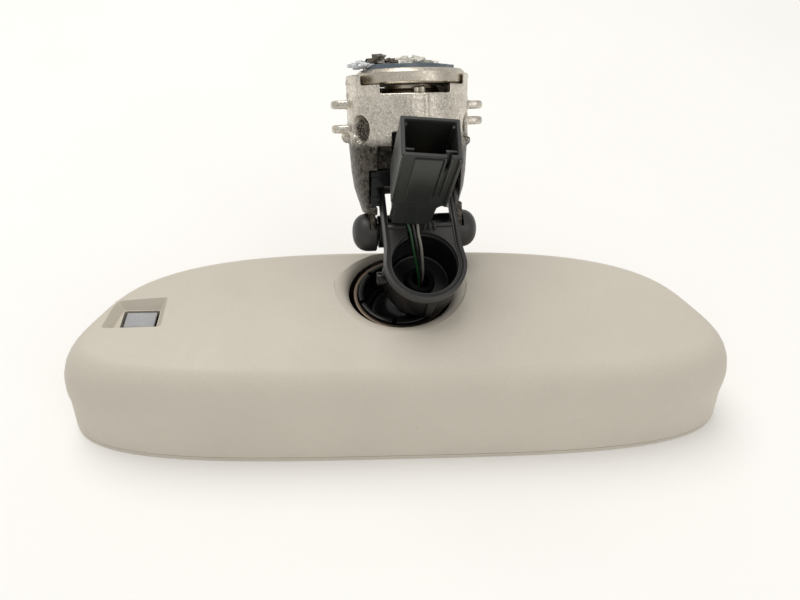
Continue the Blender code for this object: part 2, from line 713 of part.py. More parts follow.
def build_foot(hinge_frame, foot_frame, zinc):
    low, high = FOOT_SPAN
    foot = make_object("mount_foot", turned(raised(foot_profile(), -HINGE_REACH), 36), zinc, foot_frame)
    mouth = block((-FORK_GAP, -30, -20), (FORK_GAP, 0, lifted(low)))
    back = block((-30, 8.5, -20), (30, 30, lifted(37.0)))
    below = block((-30, -30, -20), (30, 30, 7.6))
    window = block((-11.8, -30, lifted(73.7)), (11.8, -8, lifted(high + 1)))
    ear_front = block((-17.5, -30, lifted(high + 0.01)), (17.5, 0, lifted(EAR_TOP + 1)))
    ear_back = block((-14, 0, lifted(high + 0.01)), (14, 30, lifted(EAR_TOP + 1)))
    bore = along_x(solid_disc(AXLE_RADIUS + 0.1, -30, 30, steps=ROUND))
    seat = solid_disc(BUTTON_RADIUS + GAP, lifted(high), lifted(EAR_TOP + 1), (BUTTON_OFFSET, 0), 36)
    for tool in (back, below, window, ear_front, ear_back, seat):
        combine(foot, cutter(tool, foot_frame))
    combine(foot, cutter(mouth, hinge_frame))
    for side in (-1, 1):
        combine(foot, cutter(cheek_end(side), hinge_frame), "UNION")
    combine(foot, cutter(bore, hinge_frame))
    for side, heights in ((-1, (70.6, 62.3)), (1, (69.7, 64.2))):
        for height in heights:
            near, far = sorted((side * 19.6, side * 27.3))
            lug = block((near, -4, lifted(height) - 1.5), (far, 4, lifted(height) + 1.5))
            combine(foot, cutter(lug, foot_frame), "UNION")
        turn = math.radians(-90 + side * 64.0)
        place = (FOOT_RADIUS * math.cos(turn), FOOT_RADIUS * math.sin(turn), lifted(61.0))
        ball = bmesh.new()
        bmesh.ops.create_uvsphere(ball, u_segments=16, v_segments=10, radius=4.8)
        bmesh.ops.scale(ball, vec=(0.4, 1, 1), verts=ball.verts)
        bmesh.ops.transform(ball, matrix=Matrix.Translation(place) @ Matrix.Rotation(turn, 4, "Z"),
                            verts=ball.verts)
        combine(foot, cutter(ball, foot_frame))


def build_foot_fittings(hinge_frame, foot_frame, steel, black, metal):
    disc_low, disc_high = BUTTON
    profile = [(0, disc_high), (0, disc_low - 6.2), (8.6, disc_low - 6.2), (8.6, disc_low - 4.8),
               (7.8, disc_low - 4.2), (7.8, disc_low - 2.4), (9.4, disc_low - 1.4), (9.4, disc_low),
               (BUTTON_RADIUS - 0.6, disc_low), (BUTTON_RADIUS, disc_low + 0.6),
               (BUTTON_RADIUS, disc_high - 1.2), (BUTTON_RADIUS - 1.2, disc_high)]
    button = turned(raised(profile, -HINGE_REACH), 36, (BUTTON_OFFSET, 0))
    make_object("windscreen_button", button, metal, foot_frame)
    wire = [(9.6 + x, lifted(74.4) + z) for x, z in arc(0.8, 0, 315, 7)]
    spring = make_object("retaining_spring", turned(wire, 24, (BUTTON_OFFSET, 0)), steel, foot_frame)
    combine(spring, cutter(block((-3, 2, lifted(70)), (3, 20, lifted(78))), foot_frame))
    pin = [(0, -1.0), (1.5, -1.0), (1.5, 1.0), (0.9, 1.5), (0, 1.5)]
    make_object("spring_pin", turned(raised(pin, lifted(74.8)), 16, (3.2, -12.2)), steel, foot_frame)
    insert = [(-14.6, -10), (-12.2, -10), (-12.2, -5), (-10.8, -5), (-10.8, -0.4), (-14.6, -0.4)]
    make_object("side_insert", prism(insert, lifted(43.0), lifted(55.0)), black, hinge_frame)


# ---------------------------------------------------------------- assembly

def build():
    clear_scene()
    housing = make_material("housing_plastic", (0.62, 0.58, 0.52), 0.55)
    bezel = make_material("bezel_plastic", (0.62, 0.58, 0.52), 0.5)
    black = make_material("black_plastic", (0.03, 0.032, 0.034), 0.4)
    liner = make_material("liner_plastic", (0.03, 0.03, 0.03), 0.4)
    carrier = make_material("carrier_plastic", (0.1, 0.1, 0.1), 0.6)
    glass = make_material("clear_glass", (0.8, 0.86, 0.86), 0.02, alpha=0.35)
    mirror = make_material("mirror_glass", (0.7, 0.74, 0.78), 0.03, 1.0)
    rubber = make_material("seal_rubber", (0.05, 0.05, 0.05), 0.8)
    foam = make_material("foam", (0.2, 0.2, 0.2), 0.95)
    copper = make_material("copper", (0.8, 0.45, 0.3), 0.35, 1.0)
    board = make_material("board_laminate", (0.05, 0.25, 0.12), 0.5)
    chip = make_material("chip_epoxy", (0.03, 0.03, 0.03), 0.5)
    white = make_material("header_nylon", (0.85, 0.84, 0.78), 0.5)
    clear = make_material("clear_plastic", (0.7, 0.7, 0.72), 0.1, alpha=0.5)
    steel = make_material("steel", (0.5, 0.46, 0.42), 0.35, 1.0)
    zinc = make_material("zinc_casting", (0.55, 0.52, 0.48), 0.45, 1.0)
    button = make_material("button_metal", (0.6, 0.56, 0.5), 0.35, 1.0)
    brass = make_material("brass", (0.75, 0.6, 0.3), 0.3, 1.0)
    green = make_material("green_wire", (0.05, 0.2, 0.08), 0.4)
    grey = make_material("grey_wire", (0.35, 0.34, 0.32), 0.4)

    head_frame = make_empty("head_frame", (*HEAD_CENTRE, 0))
    ball_frame = make_empty("ball_frame", BALL_CENTRE, parent=head_frame)
    root = Vector(ARM_ROOT) - Vector(BALL_CENTRE)
    turn = (Matrix.Rotation(math.radians(LEAN_SIDE), 4, "Y")
            @ Matrix.Rotation(math.radians(-LEAN_BACK), 4, "X")
            @ Matrix.Rotation(math.radians(SWIVEL), 4, "Z"))
    tube_turn = turn @ Matrix.Rotation(math.radians(TUBE_LEAN), 4, "X")
    tube_frame = make_empty("tube_frame", root, tube_turn, ball_frame)
    hinge_frame = make_empty("hinge_frame", root + turn @ Vector((0, 0, HINGE_REACH)), turn, ball_frame)
    foot_frame = make_empty("foot_frame", (FOOT_OFFSET, 0, 0), parent=hinge_frame)
    socket_turn = (tube_turn @ Matrix.Rotation(math.radians(CONNECTOR_TILT), 4, "Y")
                   @ Matrix.Rotation(math.radians(CONNECTOR_TURN), 4, "Z"))
    connector_root = root + tube_turn @ Vector(CONNECTOR_PLACE)
    connector_frame = make_empty("connector_frame", connector_root, socket_turn, ball_frame)
    floor = root + tube_turn @ Vector((0, 0, TUBE_FLOOR))
    stud_turn = floor.to_track_quat("Z", "Y").to_matrix().to_4x4()
    stud_frame = make_empty("stud_frame", (0, 0, 0), stud_turn, ball_frame)
    in_ball = (stud_turn, Matrix.Translation(root) @ tube_turn,
               Matrix.Translation(connector_root) @ socket_turn)

    build_rear_housing(head_frame, housing)
    build_bezel(head_frame, bezel)
    build_glass(head_frame, glass, mirror, rubber, foam, copper)
    build_carrier(head_frame, carrier)
    build_screws(head_frame, steel)
    build_electronics(head_frame, board, chip, white, clear, chip)
    build_socket(head_frame, black)
    build_ball_joint(head_frame, ball_frame, steel, liner)
    build_pivot_ball(stud_frame, floor.length, black)
    build_arm_body(tube_frame, stud_frame, floor.length, black)
    build_shroud(tube_frame, black)
    build_connector(connector_frame, black, brass)
    build_wires(head_frame, ball_frame, in_ball, (green, black, grey))
    build_hinge(hinge_frame, steel, black, liner)
    build_foot(hinge_frame, foot_frame, zinc)
    build_foot_fittings(hinge_frame, foot_frame, steel, black, button)


build()
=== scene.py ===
"""Looks of the interior rearview mirror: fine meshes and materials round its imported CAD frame.
The head lies glass down. Sizes are in millimetres in each part's own frame unless said otherwise."""

import json
import math
import random

import bmesh
import bpy
from mathutils import Matrix, Vector, noise


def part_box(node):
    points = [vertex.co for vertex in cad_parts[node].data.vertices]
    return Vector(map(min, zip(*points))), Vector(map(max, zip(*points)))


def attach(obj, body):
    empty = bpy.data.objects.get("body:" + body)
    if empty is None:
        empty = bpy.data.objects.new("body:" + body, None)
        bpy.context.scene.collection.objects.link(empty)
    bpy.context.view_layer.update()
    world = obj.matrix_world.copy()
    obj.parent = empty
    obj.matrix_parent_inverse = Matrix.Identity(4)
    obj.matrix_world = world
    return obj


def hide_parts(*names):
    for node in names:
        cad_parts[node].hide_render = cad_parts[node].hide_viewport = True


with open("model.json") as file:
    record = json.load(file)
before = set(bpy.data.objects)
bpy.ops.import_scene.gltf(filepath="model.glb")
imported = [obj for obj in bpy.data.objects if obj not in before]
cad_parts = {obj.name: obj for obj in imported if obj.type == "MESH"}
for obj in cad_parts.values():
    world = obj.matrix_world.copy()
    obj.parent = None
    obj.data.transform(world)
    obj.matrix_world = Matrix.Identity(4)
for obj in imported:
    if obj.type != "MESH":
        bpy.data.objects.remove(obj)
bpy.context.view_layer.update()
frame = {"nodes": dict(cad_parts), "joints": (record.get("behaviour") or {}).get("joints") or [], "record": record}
MM = 0.001
GAP = 0.3  # clearance between neighbouring parts

# Mirror head
HEAD_WIDTH = 237.4
HEAD_DEPTH = 80.0
HEAD_TAPER = 0.157
LOWER_SQUARENESS = 3.5
UPPER_SQUARENESS = 3.08
WALL_TOP = 17.2
SHOULDER_TOP = 40.8
SHOULDER_INSET = 11.4
DRAFT = 2.0
CROWN = 3.1
SHELL = 2.2
BEZEL_TOP = 2.2
HOLE_CENTRE = (0.9, 10.6)
HOLE_LIP_RADIUS = 25.0
HOLE_RADIUS = 19.8
HOLE_DEPTH = 5.6
HOLE_LIP_TOP = 43.1
COLLAR_RADIUS = 27.2
CROWN_CENTRE_RADIUS = 12.0
WINDOW = (-95.6, -1.2)
# Sections of the window's recess, as (width, depth, height)
WINDOW_POCKET = ((17.4, 14.0, 34.6), (20.4, 16.4, 39.4))
WINDOW_FUNNEL = ((13.8, 9.6, 37.3), (19.4, 14.2, 41.4), (20.4, 15.0, 42.2), (22.6, 17.2, 43.8))
WINDOW_THROAT = ((13.2, 9.0, 33.0), (13.2, 9.0, 39.0))
OUTLINE_STEPS = 192
SHOULDER_STEPS = 16
CROWN_STEPS = 14
FRONT_GLASS = (1.4, 3.0)
REAR_GLASS = (4.0, 5.4)

# Ball joint
BALL_RADIUS = 10.0
SOCKET_CAVITY = 11.9
SOCKET_RISE = 3.0
SLEEVE = (14.4, 16.2)
SLEEVE_TOP = 38.2
SOCKET_FOOT_RADIUS = 23.4
SOCKET_FOOT = (8.8, 10.8)

# Arm, along the tube's axis from the arm's root
HINGE_REACH = 24.8
TUBE_LEAN = 52.0
HINGE_Y = HINGE_REACH * math.sin(math.radians(TUBE_LEAN))
HINGE_Z = HINGE_REACH * math.cos(math.radians(TUBE_LEAN))
TUBE_RADIUS = 13.6
TUBE_BORE = 11.5
TUBE_START = 7.8
TUBE_FLOOR = 10.4
TUBE_END = 25.5
NECK_RADIUS = 5.4
WIRE_BORE = 3.4
WIRE_FLARE = 5.4
BALL_OPENING = -48
BARREL_RADIUS = 6.0
BARREL_HALF = 14.0
AXLE_RADIUS = 3.0
AXLE_HALF = 20.5
CAP_RADIUS = 7.1
CAP_SPAN = (14.8, 17.5, 23.4)
CHEEK = (15.0, 17.2)
CHEEK_RADIUS = 6.1
SHROUD = (25.8, 28.8)
SHROUD_RADIUS = 14.7
SHROUD_BORE = 11.8
RAIL_HALF = 13.8
RAIL_WIDTH = 2.4
RAIL_TOPS = (30.0, 40.0)
NOTCH = (-5.0, -0.1)
BAR_TOP = 15.2

# Connector
CONNECTOR_SIZE = (18.3, 14.4)
CONNECTOR_PLACE = (-3.6, 18.8, 31.0)
CONNECTOR_LENGTH = 43.0
CONNECTOR_TILT = 2.0
CONNECTOR_TURN = -5.0
CONNECTOR_WALL = 1.4
SOCKET_FLOOR = 21.0

# Foot, with heights measured from the arm's root
FOOT_RADIUS = 21.6
FOOT_WALL = 3.2
FOOT_LOW = 56.6
FOOT_HIGH = 76.5
EAR_TOP = 80.2
FOOT_OFFSET = -1.9
FORK_GAP = 15.0
FORK_RADIUS = 17.3
FORK_SHOULDER = 20.8
BOSS_BORE = 14.0
BUTTON_RADIUS = 19.2
BUTTON_OFFSET = 1.4
BUTTON = (76.8, 81.8)
DIMPLE_TURNS = (-90 - 58.0, -90 + 66.0)
DIMPLE_HEIGHT = 37.4
DIMPLE_RADIUS = 4.8
# Middle and reach of the painted shade in each dimple, in the foot's own frame
HOLLOWS = tuple(((FOOT_RADIUS * math.cos(math.radians(t)), FOOT_RADIUS * math.sin(math.radians(t)),
                  DIMPLE_HEIGHT), 4.7) for t in DIMPLE_TURNS)
LUG_REACH = 27.3
LUGS = ((-1, 70.6), (-1, 62.3), (1, 69.7), (1, 64.2))  # side, height
BUMPS = ((2.0, -21.9, 1.0, 59.5), (1.3, -20.8, -3.0, 73.6), (1.5, -20.6, -2.5, 77.6),
         (1.2, 20.8, -2.0, 79.4), (1.6, 20.2, -6.0, 57.4))  # radius, x, y, height
SPRING_RADIUS = 9.6
SPRING_WIRE = 0.8
SPRING_HEIGHT = 74.4
PIN_HEIGHT = 74.8

# Crushed glass: piece, number of crumbs, colour, middle, spread, rise and size of a crumb
GLASS_HEAPS = (("glass_crumbs_clear", 90, (0.90, 0.88, 0.80), (1.0, 1.0), (9.5, 9.5), 4.0, 2.3),
               ("glass_crumbs_dark", 60, (0.13, 0.11, 0.085), (-9.5, -1.0), (5.4, 8.0), 4.2, 2.2),
               ("glass_crumbs_ear", 34, (0.86, 0.90, 0.92), (-16.0, -4.0), (4.0, 5.0), 1.8, 1.6))
SHEET_CORNERS = 46
SHEET_RADIUS = 15.8

# Wires, as colour, place across the connector and place across the ball
WIRES = (("green", -2.6, -1.45), ("black", 0.0, 0.0), ("grey", 2.6, 1.45))
WIRE_RADIUS = 0.52
HEAD_WIRE_SPREAD = 1.35
HEAD_WIRE_START = 7.7
ARM_WIRE_END = -6.6
BOARD_TOP = 13.9

# Stage
FLOOR_COLOUR = (0.94, 0.935, 0.92)
FLOOR_SIZE = 6
SKY_COLOUR = (1.0, 0.985, 0.96, 1)
SKY_STRENGTH = 0.64
CAMERA_YAW = 2.43
CAMERA_PITCH = 47.24
CAMERA_ROLL = 0.818
CAMERA_PLACE = (0.36, -169.27, 227.53)
CAMERA_LENS = 30.6
CAMERA_SENSOR = 36


# ---------------------------------------------------------------- frames

def shift(x=0.0, y=0.0, z=0.0):
    return Matrix.Translation(Vector((x, y, z)) * MM)


def turn(degrees, axis):
    return Matrix.Rotation(math.radians(degrees), 4, axis)


def axes_frame(origin, x_axis, z_axis):
    x = Vector(x_axis).normalized()
    z = Vector(z_axis).normalized()
    made = Matrix((x, z.cross(x), z)).transposed().to_4x4()
    made.translation = Vector(origin)
    return made


JOINTS = {joint["name"]: joint for joint in frame["joints"]}
MOUNTS = {mount["name"]: mount for mount in frame["record"]["mounts"]}
BEZEL_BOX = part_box("bezel_ring")
HEAD = Matrix.Translation(((BEZEL_BOX[0].x + BEZEL_BOX[1].x) / 2, (BEZEL_BOX[0].y + BEZEL_BOX[1].y) / 2, 0))
BALL = Matrix.Translation(JOINTS["head_swivel"]["pos_m"])
HINGE = axes_frame(JOINTS["arm_hinge"]["pos_m"], JOINTS["arm_hinge"]["axis"],
                   MOUNTS["windscreen_pad"]["axis"])
FOOT = HINGE @ shift(x=FOOT_OFFSET)
TUBE = HINGE @ shift(z=-HINGE_REACH) @ turn(TUBE_LEAN, "X")
CONNECTOR = TUBE @ shift(*CONNECTOR_PLACE) @ turn(CONNECTOR_TILT, "Y") @ turn(CONNECTOR_TURN, "Z")
STUD_LINE = TUBE @ (Vector((0, 0, TUBE_FLOOR)) * MM) - BALL.translation
STUD = BALL @ STUD_LINE.to_track_quat("Z", "Y").to_matrix().to_4x4()
BALL_HEIGHT = BALL.translation.z / MM


# ---------------------------------------------------------------- mesh helpers

def rounded(points, radius, steps=3):
    """A closed 2-D outline with its corners rounded, as far as its edges allow.
    Corners on the axis of a turned profile stay sharp, and so do the joints of a fine curve."""
    result = []
    for i, here in enumerate(points):
        here = Vector(here)
        before = Vector(points[i - 1]) - here
        after = Vector(points[(i + 1) % len(points)]) - here
        angle = before.angle(after)
        reach = min(radius / math.tan(angle / 2), 0.45 * before.length, 0.45 * after.length)
        if here.x == 0 or angle > 2.9 or reach < 0.01:
            result.append(tuple(here))
            continue
        start, end = here + before.normalized() * reach, here + after.normalized() * reach
        for k in range(steps + 1):
            t = k / steps
            result.append(tuple(start.lerp(here, t).lerp(here.lerp(end, t), t)))
    return result


def arc(radius, start, end, steps, centre=(0.0, 0.0)):
    turns = [math.radians(start + (end - start) * i / steps) for i in range(steps + 1)]
    return [(centre[0] + radius * math.cos(a), centre[1] + radius * math.sin(a)) for a in turns]


def offset(points, distance):
    """Move a closed outline inwards, with mitred corners. Its points run anticlockwise."""
    result = []
    for i, here in enumerate(points):
        before = (Vector(here) - Vector(points[i - 1])).normalized()
        after = (Vector(points[(i + 1) % len(points)]) - Vector(here)).normalized()
        normal = Vector((-before.y - after.y, before.x + after.x))
        normal /= max(0.35, normal.length_squared / 2)
        result.append((here[0] + normal.x * distance, here[1] + normal.y * distance))
    return result


def loft(loops, ring=False):
    """Join matching loops of points by quads; a ring loft closes on its first loop."""
    bm = bmesh.new()
    rows = [[bm.verts.new(point) for point in loop] for loop in loops]
    pairs = list(zip(rows, rows[1:]))
    if ring:
        pairs.append((rows[-1], rows[0]))
    for low, high in pairs:
        for i in range(len(low)):
            bm.faces.new((low[i - 1], low[i], high[i], high[i - 1]))
    if not ring:
        bm.faces.new(rows[0])
        bm.faces.new(rows[-1])
    return bm


def turned(profile, steps=128, centre=(0.0, 0.0)):
    """Spin a closed outline of (radius, height) points about Z."""
    bm = bmesh.new()
    verts = [bm.verts.new((max(radius, 0.0), 0, height)) for radius, height in profile]
    edges = [bm.edges.new((verts[i - 1], verts[i])) for i in range(len(verts))]
    bmesh.ops.spin(bm, geom=verts + edges, axis=(0, 0, 1), cent=(0, 0, 0),
                   angle=math.tau, steps=steps, use_merge=True)
    bmesh.ops.remove_doubles(bm, verts=bm.verts, dist=0.0005)
    bmesh.ops.translate(bm, vec=(*centre, 0), verts=bm.verts)
    return bm


def disc(radius, low, high, centre=(0.0, 0.0), steps=64):
    return turned([(0, low), (radius, low), (radius, high), (0, high)], steps, centre)


def level(points, height):
    return [(x, y, height) for x, y in points]


def prism(points, low, high):
    return loft([level(points, low), level(points, high)])


def soft_prism(points, low, high, radius):
    """An extruded outline whose end edges are rounded over."""
    inset, height = (radius, radius * 0.3, 0.0), (0.0, radius * 0.3, radius)
    loops = [level(offset(points, d), low + h) for d, h in zip(inset, height)]
    loops += [level(offset(points, d), high - h) for d, h in zip(inset[::-1], height[::-1])]
    return loft(loops)


def block(low, high):
    (x0, y0, z0), (x1, y1, z1) = low, high
    return prism([(x0, y0), (x1, y0), (x1, y1), (x0, y1)], z0, z1)


def soft_block(low, high, radius):
    (x0, y0, z0), (x1, y1, z1) = low, high
    outline = rounded([(x0, y0), (x1, y0), (x1, y1), (x0, y1)], 2 * radius)
    return soft_prism(outline, z0, z1, radius)


def along_x(bm, place=(0, 0, 0), flip=False):
    """Lay a turned shape down with its axis along X through a place, facing +X, or -X if flipped."""
    lay = Matrix.Translation(place) @ turn(-90 if flip else 90, "Y")
    bmesh.ops.transform(bm, matrix=lay, verts=bm.verts)
    return bm


def merged(parts):
    bm = bmesh.new()
    for part in parts:
        mesh = bpy.data.meshes.new("scratch")
        part.to_mesh(mesh)
        part.free()
        bm.from_mesh(mesh)
        bpy.data.meshes.remove(mesh)
    return bm


def new_object(name, data):
    obj = bpy.data.objects.new(name, data)
    bpy.context.scene.collection.objects.link(obj)
    return obj


def mesh_object(name, bm, place):
    bmesh.ops.remove_doubles(bm, verts=bm.verts, dist=0.0005)
    bmesh.ops.recalc_face_normals(bm, faces=bm.faces)
    bmesh.ops.scale(bm, vec=(MM, MM, MM), verts=bm.verts)
    mesh = bpy.data.meshes.new(name)
    bm.to_mesh(mesh)
    bm.free()
    obj = new_object(name, mesh)
    obj.matrix_world = place
    return obj


def settle(obj):
    """Apply the object's modifiers to its mesh."""
    bpy.context.view_layer.update()
    graph = bpy.context.evaluated_depsgraph_get()
    mesh = bpy.data.meshes.new_from_object(obj.evaluated_get(graph))
    obj.modifiers.clear()
    old, obj.data = obj.data, mesh
    bpy.data.meshes.remove(old)


def combine(obj, tool, operation):
    """Apply a Boolean with another object, which is used up."""
    modifier = obj.modifiers.new("combine", "BOOLEAN")
    modifier.operation = operation
    modifier.object = tool
    settle(obj)
    old = tool.data
    bpy.data.objects.remove(tool)
    bpy.data.meshes.remove(old)


def cut(obj, bm, place=None):
    combine(obj, mesh_object("tool", bm, place or obj.matrix_world), "DIFFERENCE")


def join(obj, bm, place=None):
    combine(obj, mesh_object("tool", bm, place or obj.matrix_world), "UNION")


def soften(obj, width, segments):
    """Bevel the edges that turn by more than 38 degrees."""
    modifier = obj.modifiers.new("soften", "BEVEL")
    modifier.width = width * MM
    modifier.segments = segments
    modifier.limit_method = "ANGLE"
    modifier.angle_limit = math.radians(38)
    modifier.miter_outer = "MITER_ARC"
    settle(obj)


def cast(obj, voxel, repeats, keep):
    """Round every edge as a casting's are: remesh finely, smooth, and thin the mesh out again."""
    remesh = obj.modifiers.new("remesh", "REMESH")
    remesh.mode = "VOXEL"
    remesh.voxel_size = voxel * MM
    smooth = obj.modifiers.new("smooth", "SMOOTH")
    smooth.factor = 0.5
    smooth.iterations = repeats
    thin = obj.modifiers.new("thin", "DECIMATE")
    thin.ratio = keep
    settle(obj)


def finished(obj, body, slot, nodes, sharp=32, material=None):
    """Shade and colour a piece, hang it on its body and hide the CAD nodes it stands for.
    The slot's own material colours it, unless it's given another."""
    obj.data.materials.clear()
    obj.data.materials.append(material or MATERIALS[slot])
    if obj.type == "MESH":
        obj.data.shade_smooth()
        obj.data.set_sharp_from_angle(angle=math.radians(sharp))
    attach(obj, body)
    if nodes:
        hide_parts(*nodes)


# ---------------------------------------------------------------- materials

class Surface:
    """A procedural material: a Principled shader whose colour, roughness and bump come from noise."""

    def __init__(self, name, **constants):
        self.material = bpy.data.materials.new(name)
        self.material.use_nodes = True
        self.tree = self.material.node_tree
        self.shader = self.tree.nodes["Principled BSDF"]
        for socket, value in constants.items():
            self.shader.inputs[socket.replace("_", " ")].default_value = value
        self.place = self.tree.nodes.new("ShaderNodeTexCoord").outputs["Object"]
        self.normal = None

    def node(self, kind, inputs=(), **settings):
        made = self.tree.nodes.new(kind)
        for key, value in settings.items():
            setattr(made, key, value)
        for socket, value in dict(inputs).items():
            if isinstance(value, bpy.types.NodeSocket):
                self.tree.links.new(value, made.inputs[socket])
            else:
                made.inputs[socket].default_value = value
        return made

    def noise(self, size, detail=3.0, roughness=0.55, stretch=None):
        """Noise whose features are about size millimetres across."""
        place = self.place
        if stretch:
            place = self.node("ShaderNodeMapping", {"Vector": place, "Scale": stretch}).outputs["Vector"]
        made = self.node("ShaderNodeTexNoise", {"Vector": place, "Scale": 1 / (size * MM), "Detail": detail,
                                                "Roughness": roughness})
        return made.outputs["Fac"]

    def cells(self, size):
        made = self.node("ShaderNodeTexVoronoi", {"Vector": self.place, "Scale": 1 / (size * MM)})
        return made.outputs["Distance"]

    def ramp(self, factor, stops):
        made = self.node("ShaderNodeValToRGB", {"Fac": factor})
        elements = made.color_ramp.elements
        while len(elements) < len(stops):
            elements.new(0.5)
        for element, (position, value) in zip(elements, stops):
            element.position = position
            colour = value if isinstance(value, tuple) else (value, value, value)
            element.color = (*colour, 1.0)
        return made.outputs["Color"]

    def mottle(self, pattern, stops):
        """Noise of a pattern's size, detail and roughness, taken through a ramp."""
        return self.ramp(self.noise(*pattern), stops)

    def blend(self, factor, first, second, mode="MIX"):
        made = self.node("ShaderNodeMix", {0: factor, 6: first, 7: second}, data_type="RGBA",
                         blend_type=mode)
        return made.outputs[2]

    def bump(self, height, depth):
        """Add relief whose full range is about depth millimetres."""
        inputs = {"Height": height, "Distance": depth * MM, "Strength": 1.0}
        if self.normal:
            inputs["Normal"] = self.normal
        self.normal = self.node("ShaderNodeBump", inputs).outputs["Normal"]

    def done(self, colour, roughness):
        self.tree.links.new(colour, self.shader.inputs["Base Color"])
        self.tree.links.new(roughness, self.shader.inputs["Roughness"])
        if self.normal:
            self.tree.links.new(self.normal, self.shader.inputs["Normal"])
        return self.material


def shade(colour, amount):
    return tuple(min(1.0, c * amount) for c in colour)


def moulded_plastic(name, colour, roughness, grain, depth, vary=0.04, **constants):
    """Moulded plastic: a fine leathery grain, slow changes of tone and a little uneven gloss."""
    surface = Surface(name, **constants)
    tone = surface.noise(28, 4)
    base = surface.ramp(tone, [(0.3, shade(colour, 1 - vary)), (0.7, shade(colour, 1 + vary))])
    fine = surface.noise(grain * 2.5, 2)
    base = surface.blend(surface.ramp(fine, [(0.35, 0.0), (0.7, 0.25)]), base, (*shade(colour, 0.93), 1))
    gloss = surface.mottle((9, 3), [(0.3, roughness * 0.9), (0.7, min(1.0, roughness * 1.12))])
    surface.bump(surface.cells(grain), depth * 0.6)
    surface.bump(surface.noise(grain * 1.6, 3), depth)
    surface.bump(surface.noise(14, 2), depth * 2)
    return surface.done(base, gloss)


def housing_plastic(name, colour):
    """Warm light grey grained plastic with faint handling marks and a few dark specks."""
    surface = Surface(name, Specular_IOR_Level=0.42)
    base = surface.mottle((45, 4), [(0.32, shade(colour, 0.965)), (0.68, shade(colour, 1.03))])
    smudge = surface.mottle((16, 6, 0.62), [(0.56, 0.0), (0.74, 0.16)])
    base = surface.blend(smudge, base, (*shade(colour, 0.82), 1))
    speck = surface.ramp(surface.cells(11), [(0.028, 0.5), (0.05, 0.0)])
    patch = surface.mottle((30, 2), [(0.56, 0.0), (0.64, 1.0)])
    base = surface.blend(surface.blend(1.0, speck, patch, "MULTIPLY"), base, (0.13, 0.11, 0.09, 1))
    grain = surface.mottle((0.9, 2), [(0.3, 0.0), (0.75, 0.35)])
    base = surface.blend(grain, base, (*shade(colour, 0.88), 1))
    gloss = surface.mottle((12, 4), [(0.3, 0.44), (0.7, 0.56)])
    surface.bump(surface.cells(0.75), 0.022)
    surface.bump(surface.noise(1.1, 3), 0.03)
    surface.bump(surface.noise(20, 2), 0.05)
    return surface.done(base, gloss)


def blasted_metal(name, colour, roughness, grit=0.35, depth=0.03, stain=0.5, painted_shade_below=None, hollows=()):
    """Shot-blasted die casting: slow, warm changes of tone under painted glints, the sparkle of small facets.
    Painted shade may darken it below a height and in its hollows.
    """
    surface = Surface(name, Metallic=1.0)
    tone = surface.mottle((9, 5, 0.62), [(0.3, shade(colour, 0.72)), (0.68, shade(colour, 1.15))])
    pits = surface.mottle((grit * 2.0, 4, 0.65), [(0.46, 0.0), (0.66, stain)])
    base = surface.blend(pits, tone, (*shade(colour, 0.3), 1))
    # painted shade: below a ragged height the casting turns to a near-black mottle, shade painted on the foot's
    # lower part and fork cheeks
    if painted_shade_below:
        low, high = painted_shade_below
        height = surface.node("ShaderNodeSeparateXYZ", {"Vector": surface.place}).outputs["Z"]
        ragged = surface.node("ShaderNodeMath", {0: surface.noise(3, 4, 0.6), 1: 0.006},
                              operation="MULTIPLY")
        height = surface.node("ShaderNodeMath", {0: height, 1: ragged.outputs[0]}, operation="ADD")
        band = surface.node("ShaderNodeMapRange", {"Value": height.outputs[0], "From Min": low * MM,
                                                   "From Max": high * MM}).outputs["Result"]
        painted_low_shade = surface.mottle((1.6, 5, 0.65), [(0.36, (0.018, 0.016, 0.014)), (0.72, (0.13, 0.115, 0.095))])
        base = surface.blend(band, painted_low_shade, base)
        # the painted glints fade out where this painted shade falls
        painted_glint_mask = surface.ramp(band, [(0.0, 0.12), (0.35, 1.0)])
    # painted shade: each dimple is darkened to a near-black mottle
    dark = []
    for place, reach in hollows:
        gone = surface.node("ShaderNodeVectorMath", {0: surface.place, 1: Vector(place) * MM},
                            operation="DISTANCE").outputs["Value"]
        inside = surface.node("ShaderNodeMapRange", {"Value": gone, "From Min": reach * 0.86 * MM,
                                                     "From Max": reach * 1.02 * MM}).outputs["Result"]
        mottle = surface.mottle((0.55, 3, 0.6), [(0.4, (0.012, 0.011, 0.01)), (0.7, (0.24, 0.21, 0.17))])
        base = surface.blend(inside, mottle, base)
        dark.append(inside)
    # painted glints: specks of lightened colour stand in for light sparkling off small facets, kept out of the
    # painted shade
    painted_glints = surface.mottle((grit * 1.4, 2), [(0.6, 0.0), (0.68, 0.8)])
    for mask in dark:
        painted_glints = surface.blend(1.0, painted_glints, mask, "MULTIPLY")
    if painted_shade_below:
        painted_glints = surface.blend(1.0, painted_glints, painted_glint_mask, "MULTIPLY")
    base = surface.blend(painted_glints, base, (*shade(colour, 1.7), 1))
    gloss = surface.mottle((grit * 3, 3), [(0.3, roughness * 0.7), (0.7, roughness * 1.3)])
    surface.bump(surface.noise(grit, 3), depth)
    surface.bump(surface.cells(grit * 1.8), depth * 0.7)
    return surface.done(base, gloss)


def worked_metal(name, colour, roughness):
    """Rolled or turned metal: fine drawn lines and slight tarnish."""
    surface = Surface(name, Metallic=1.0)
    tone = surface.mottle((5, 4), [(0.3, shade(colour, 0.82)), (0.7, shade(colour, 1.1))])
    lines = surface.noise(1.6, 4, 0.6, (1, 1, 12))
    base = surface.blend(surface.ramp(lines, [(0.4, 0.0), (0.75, 0.4)]), tone, (*shade(colour, 0.6), 1))
    gloss = surface.ramp(lines, [(0.3, roughness * 0.8), (0.7, roughness * 1.25)])
    surface.bump(lines, 0.008)
    return surface.done(base, gloss)


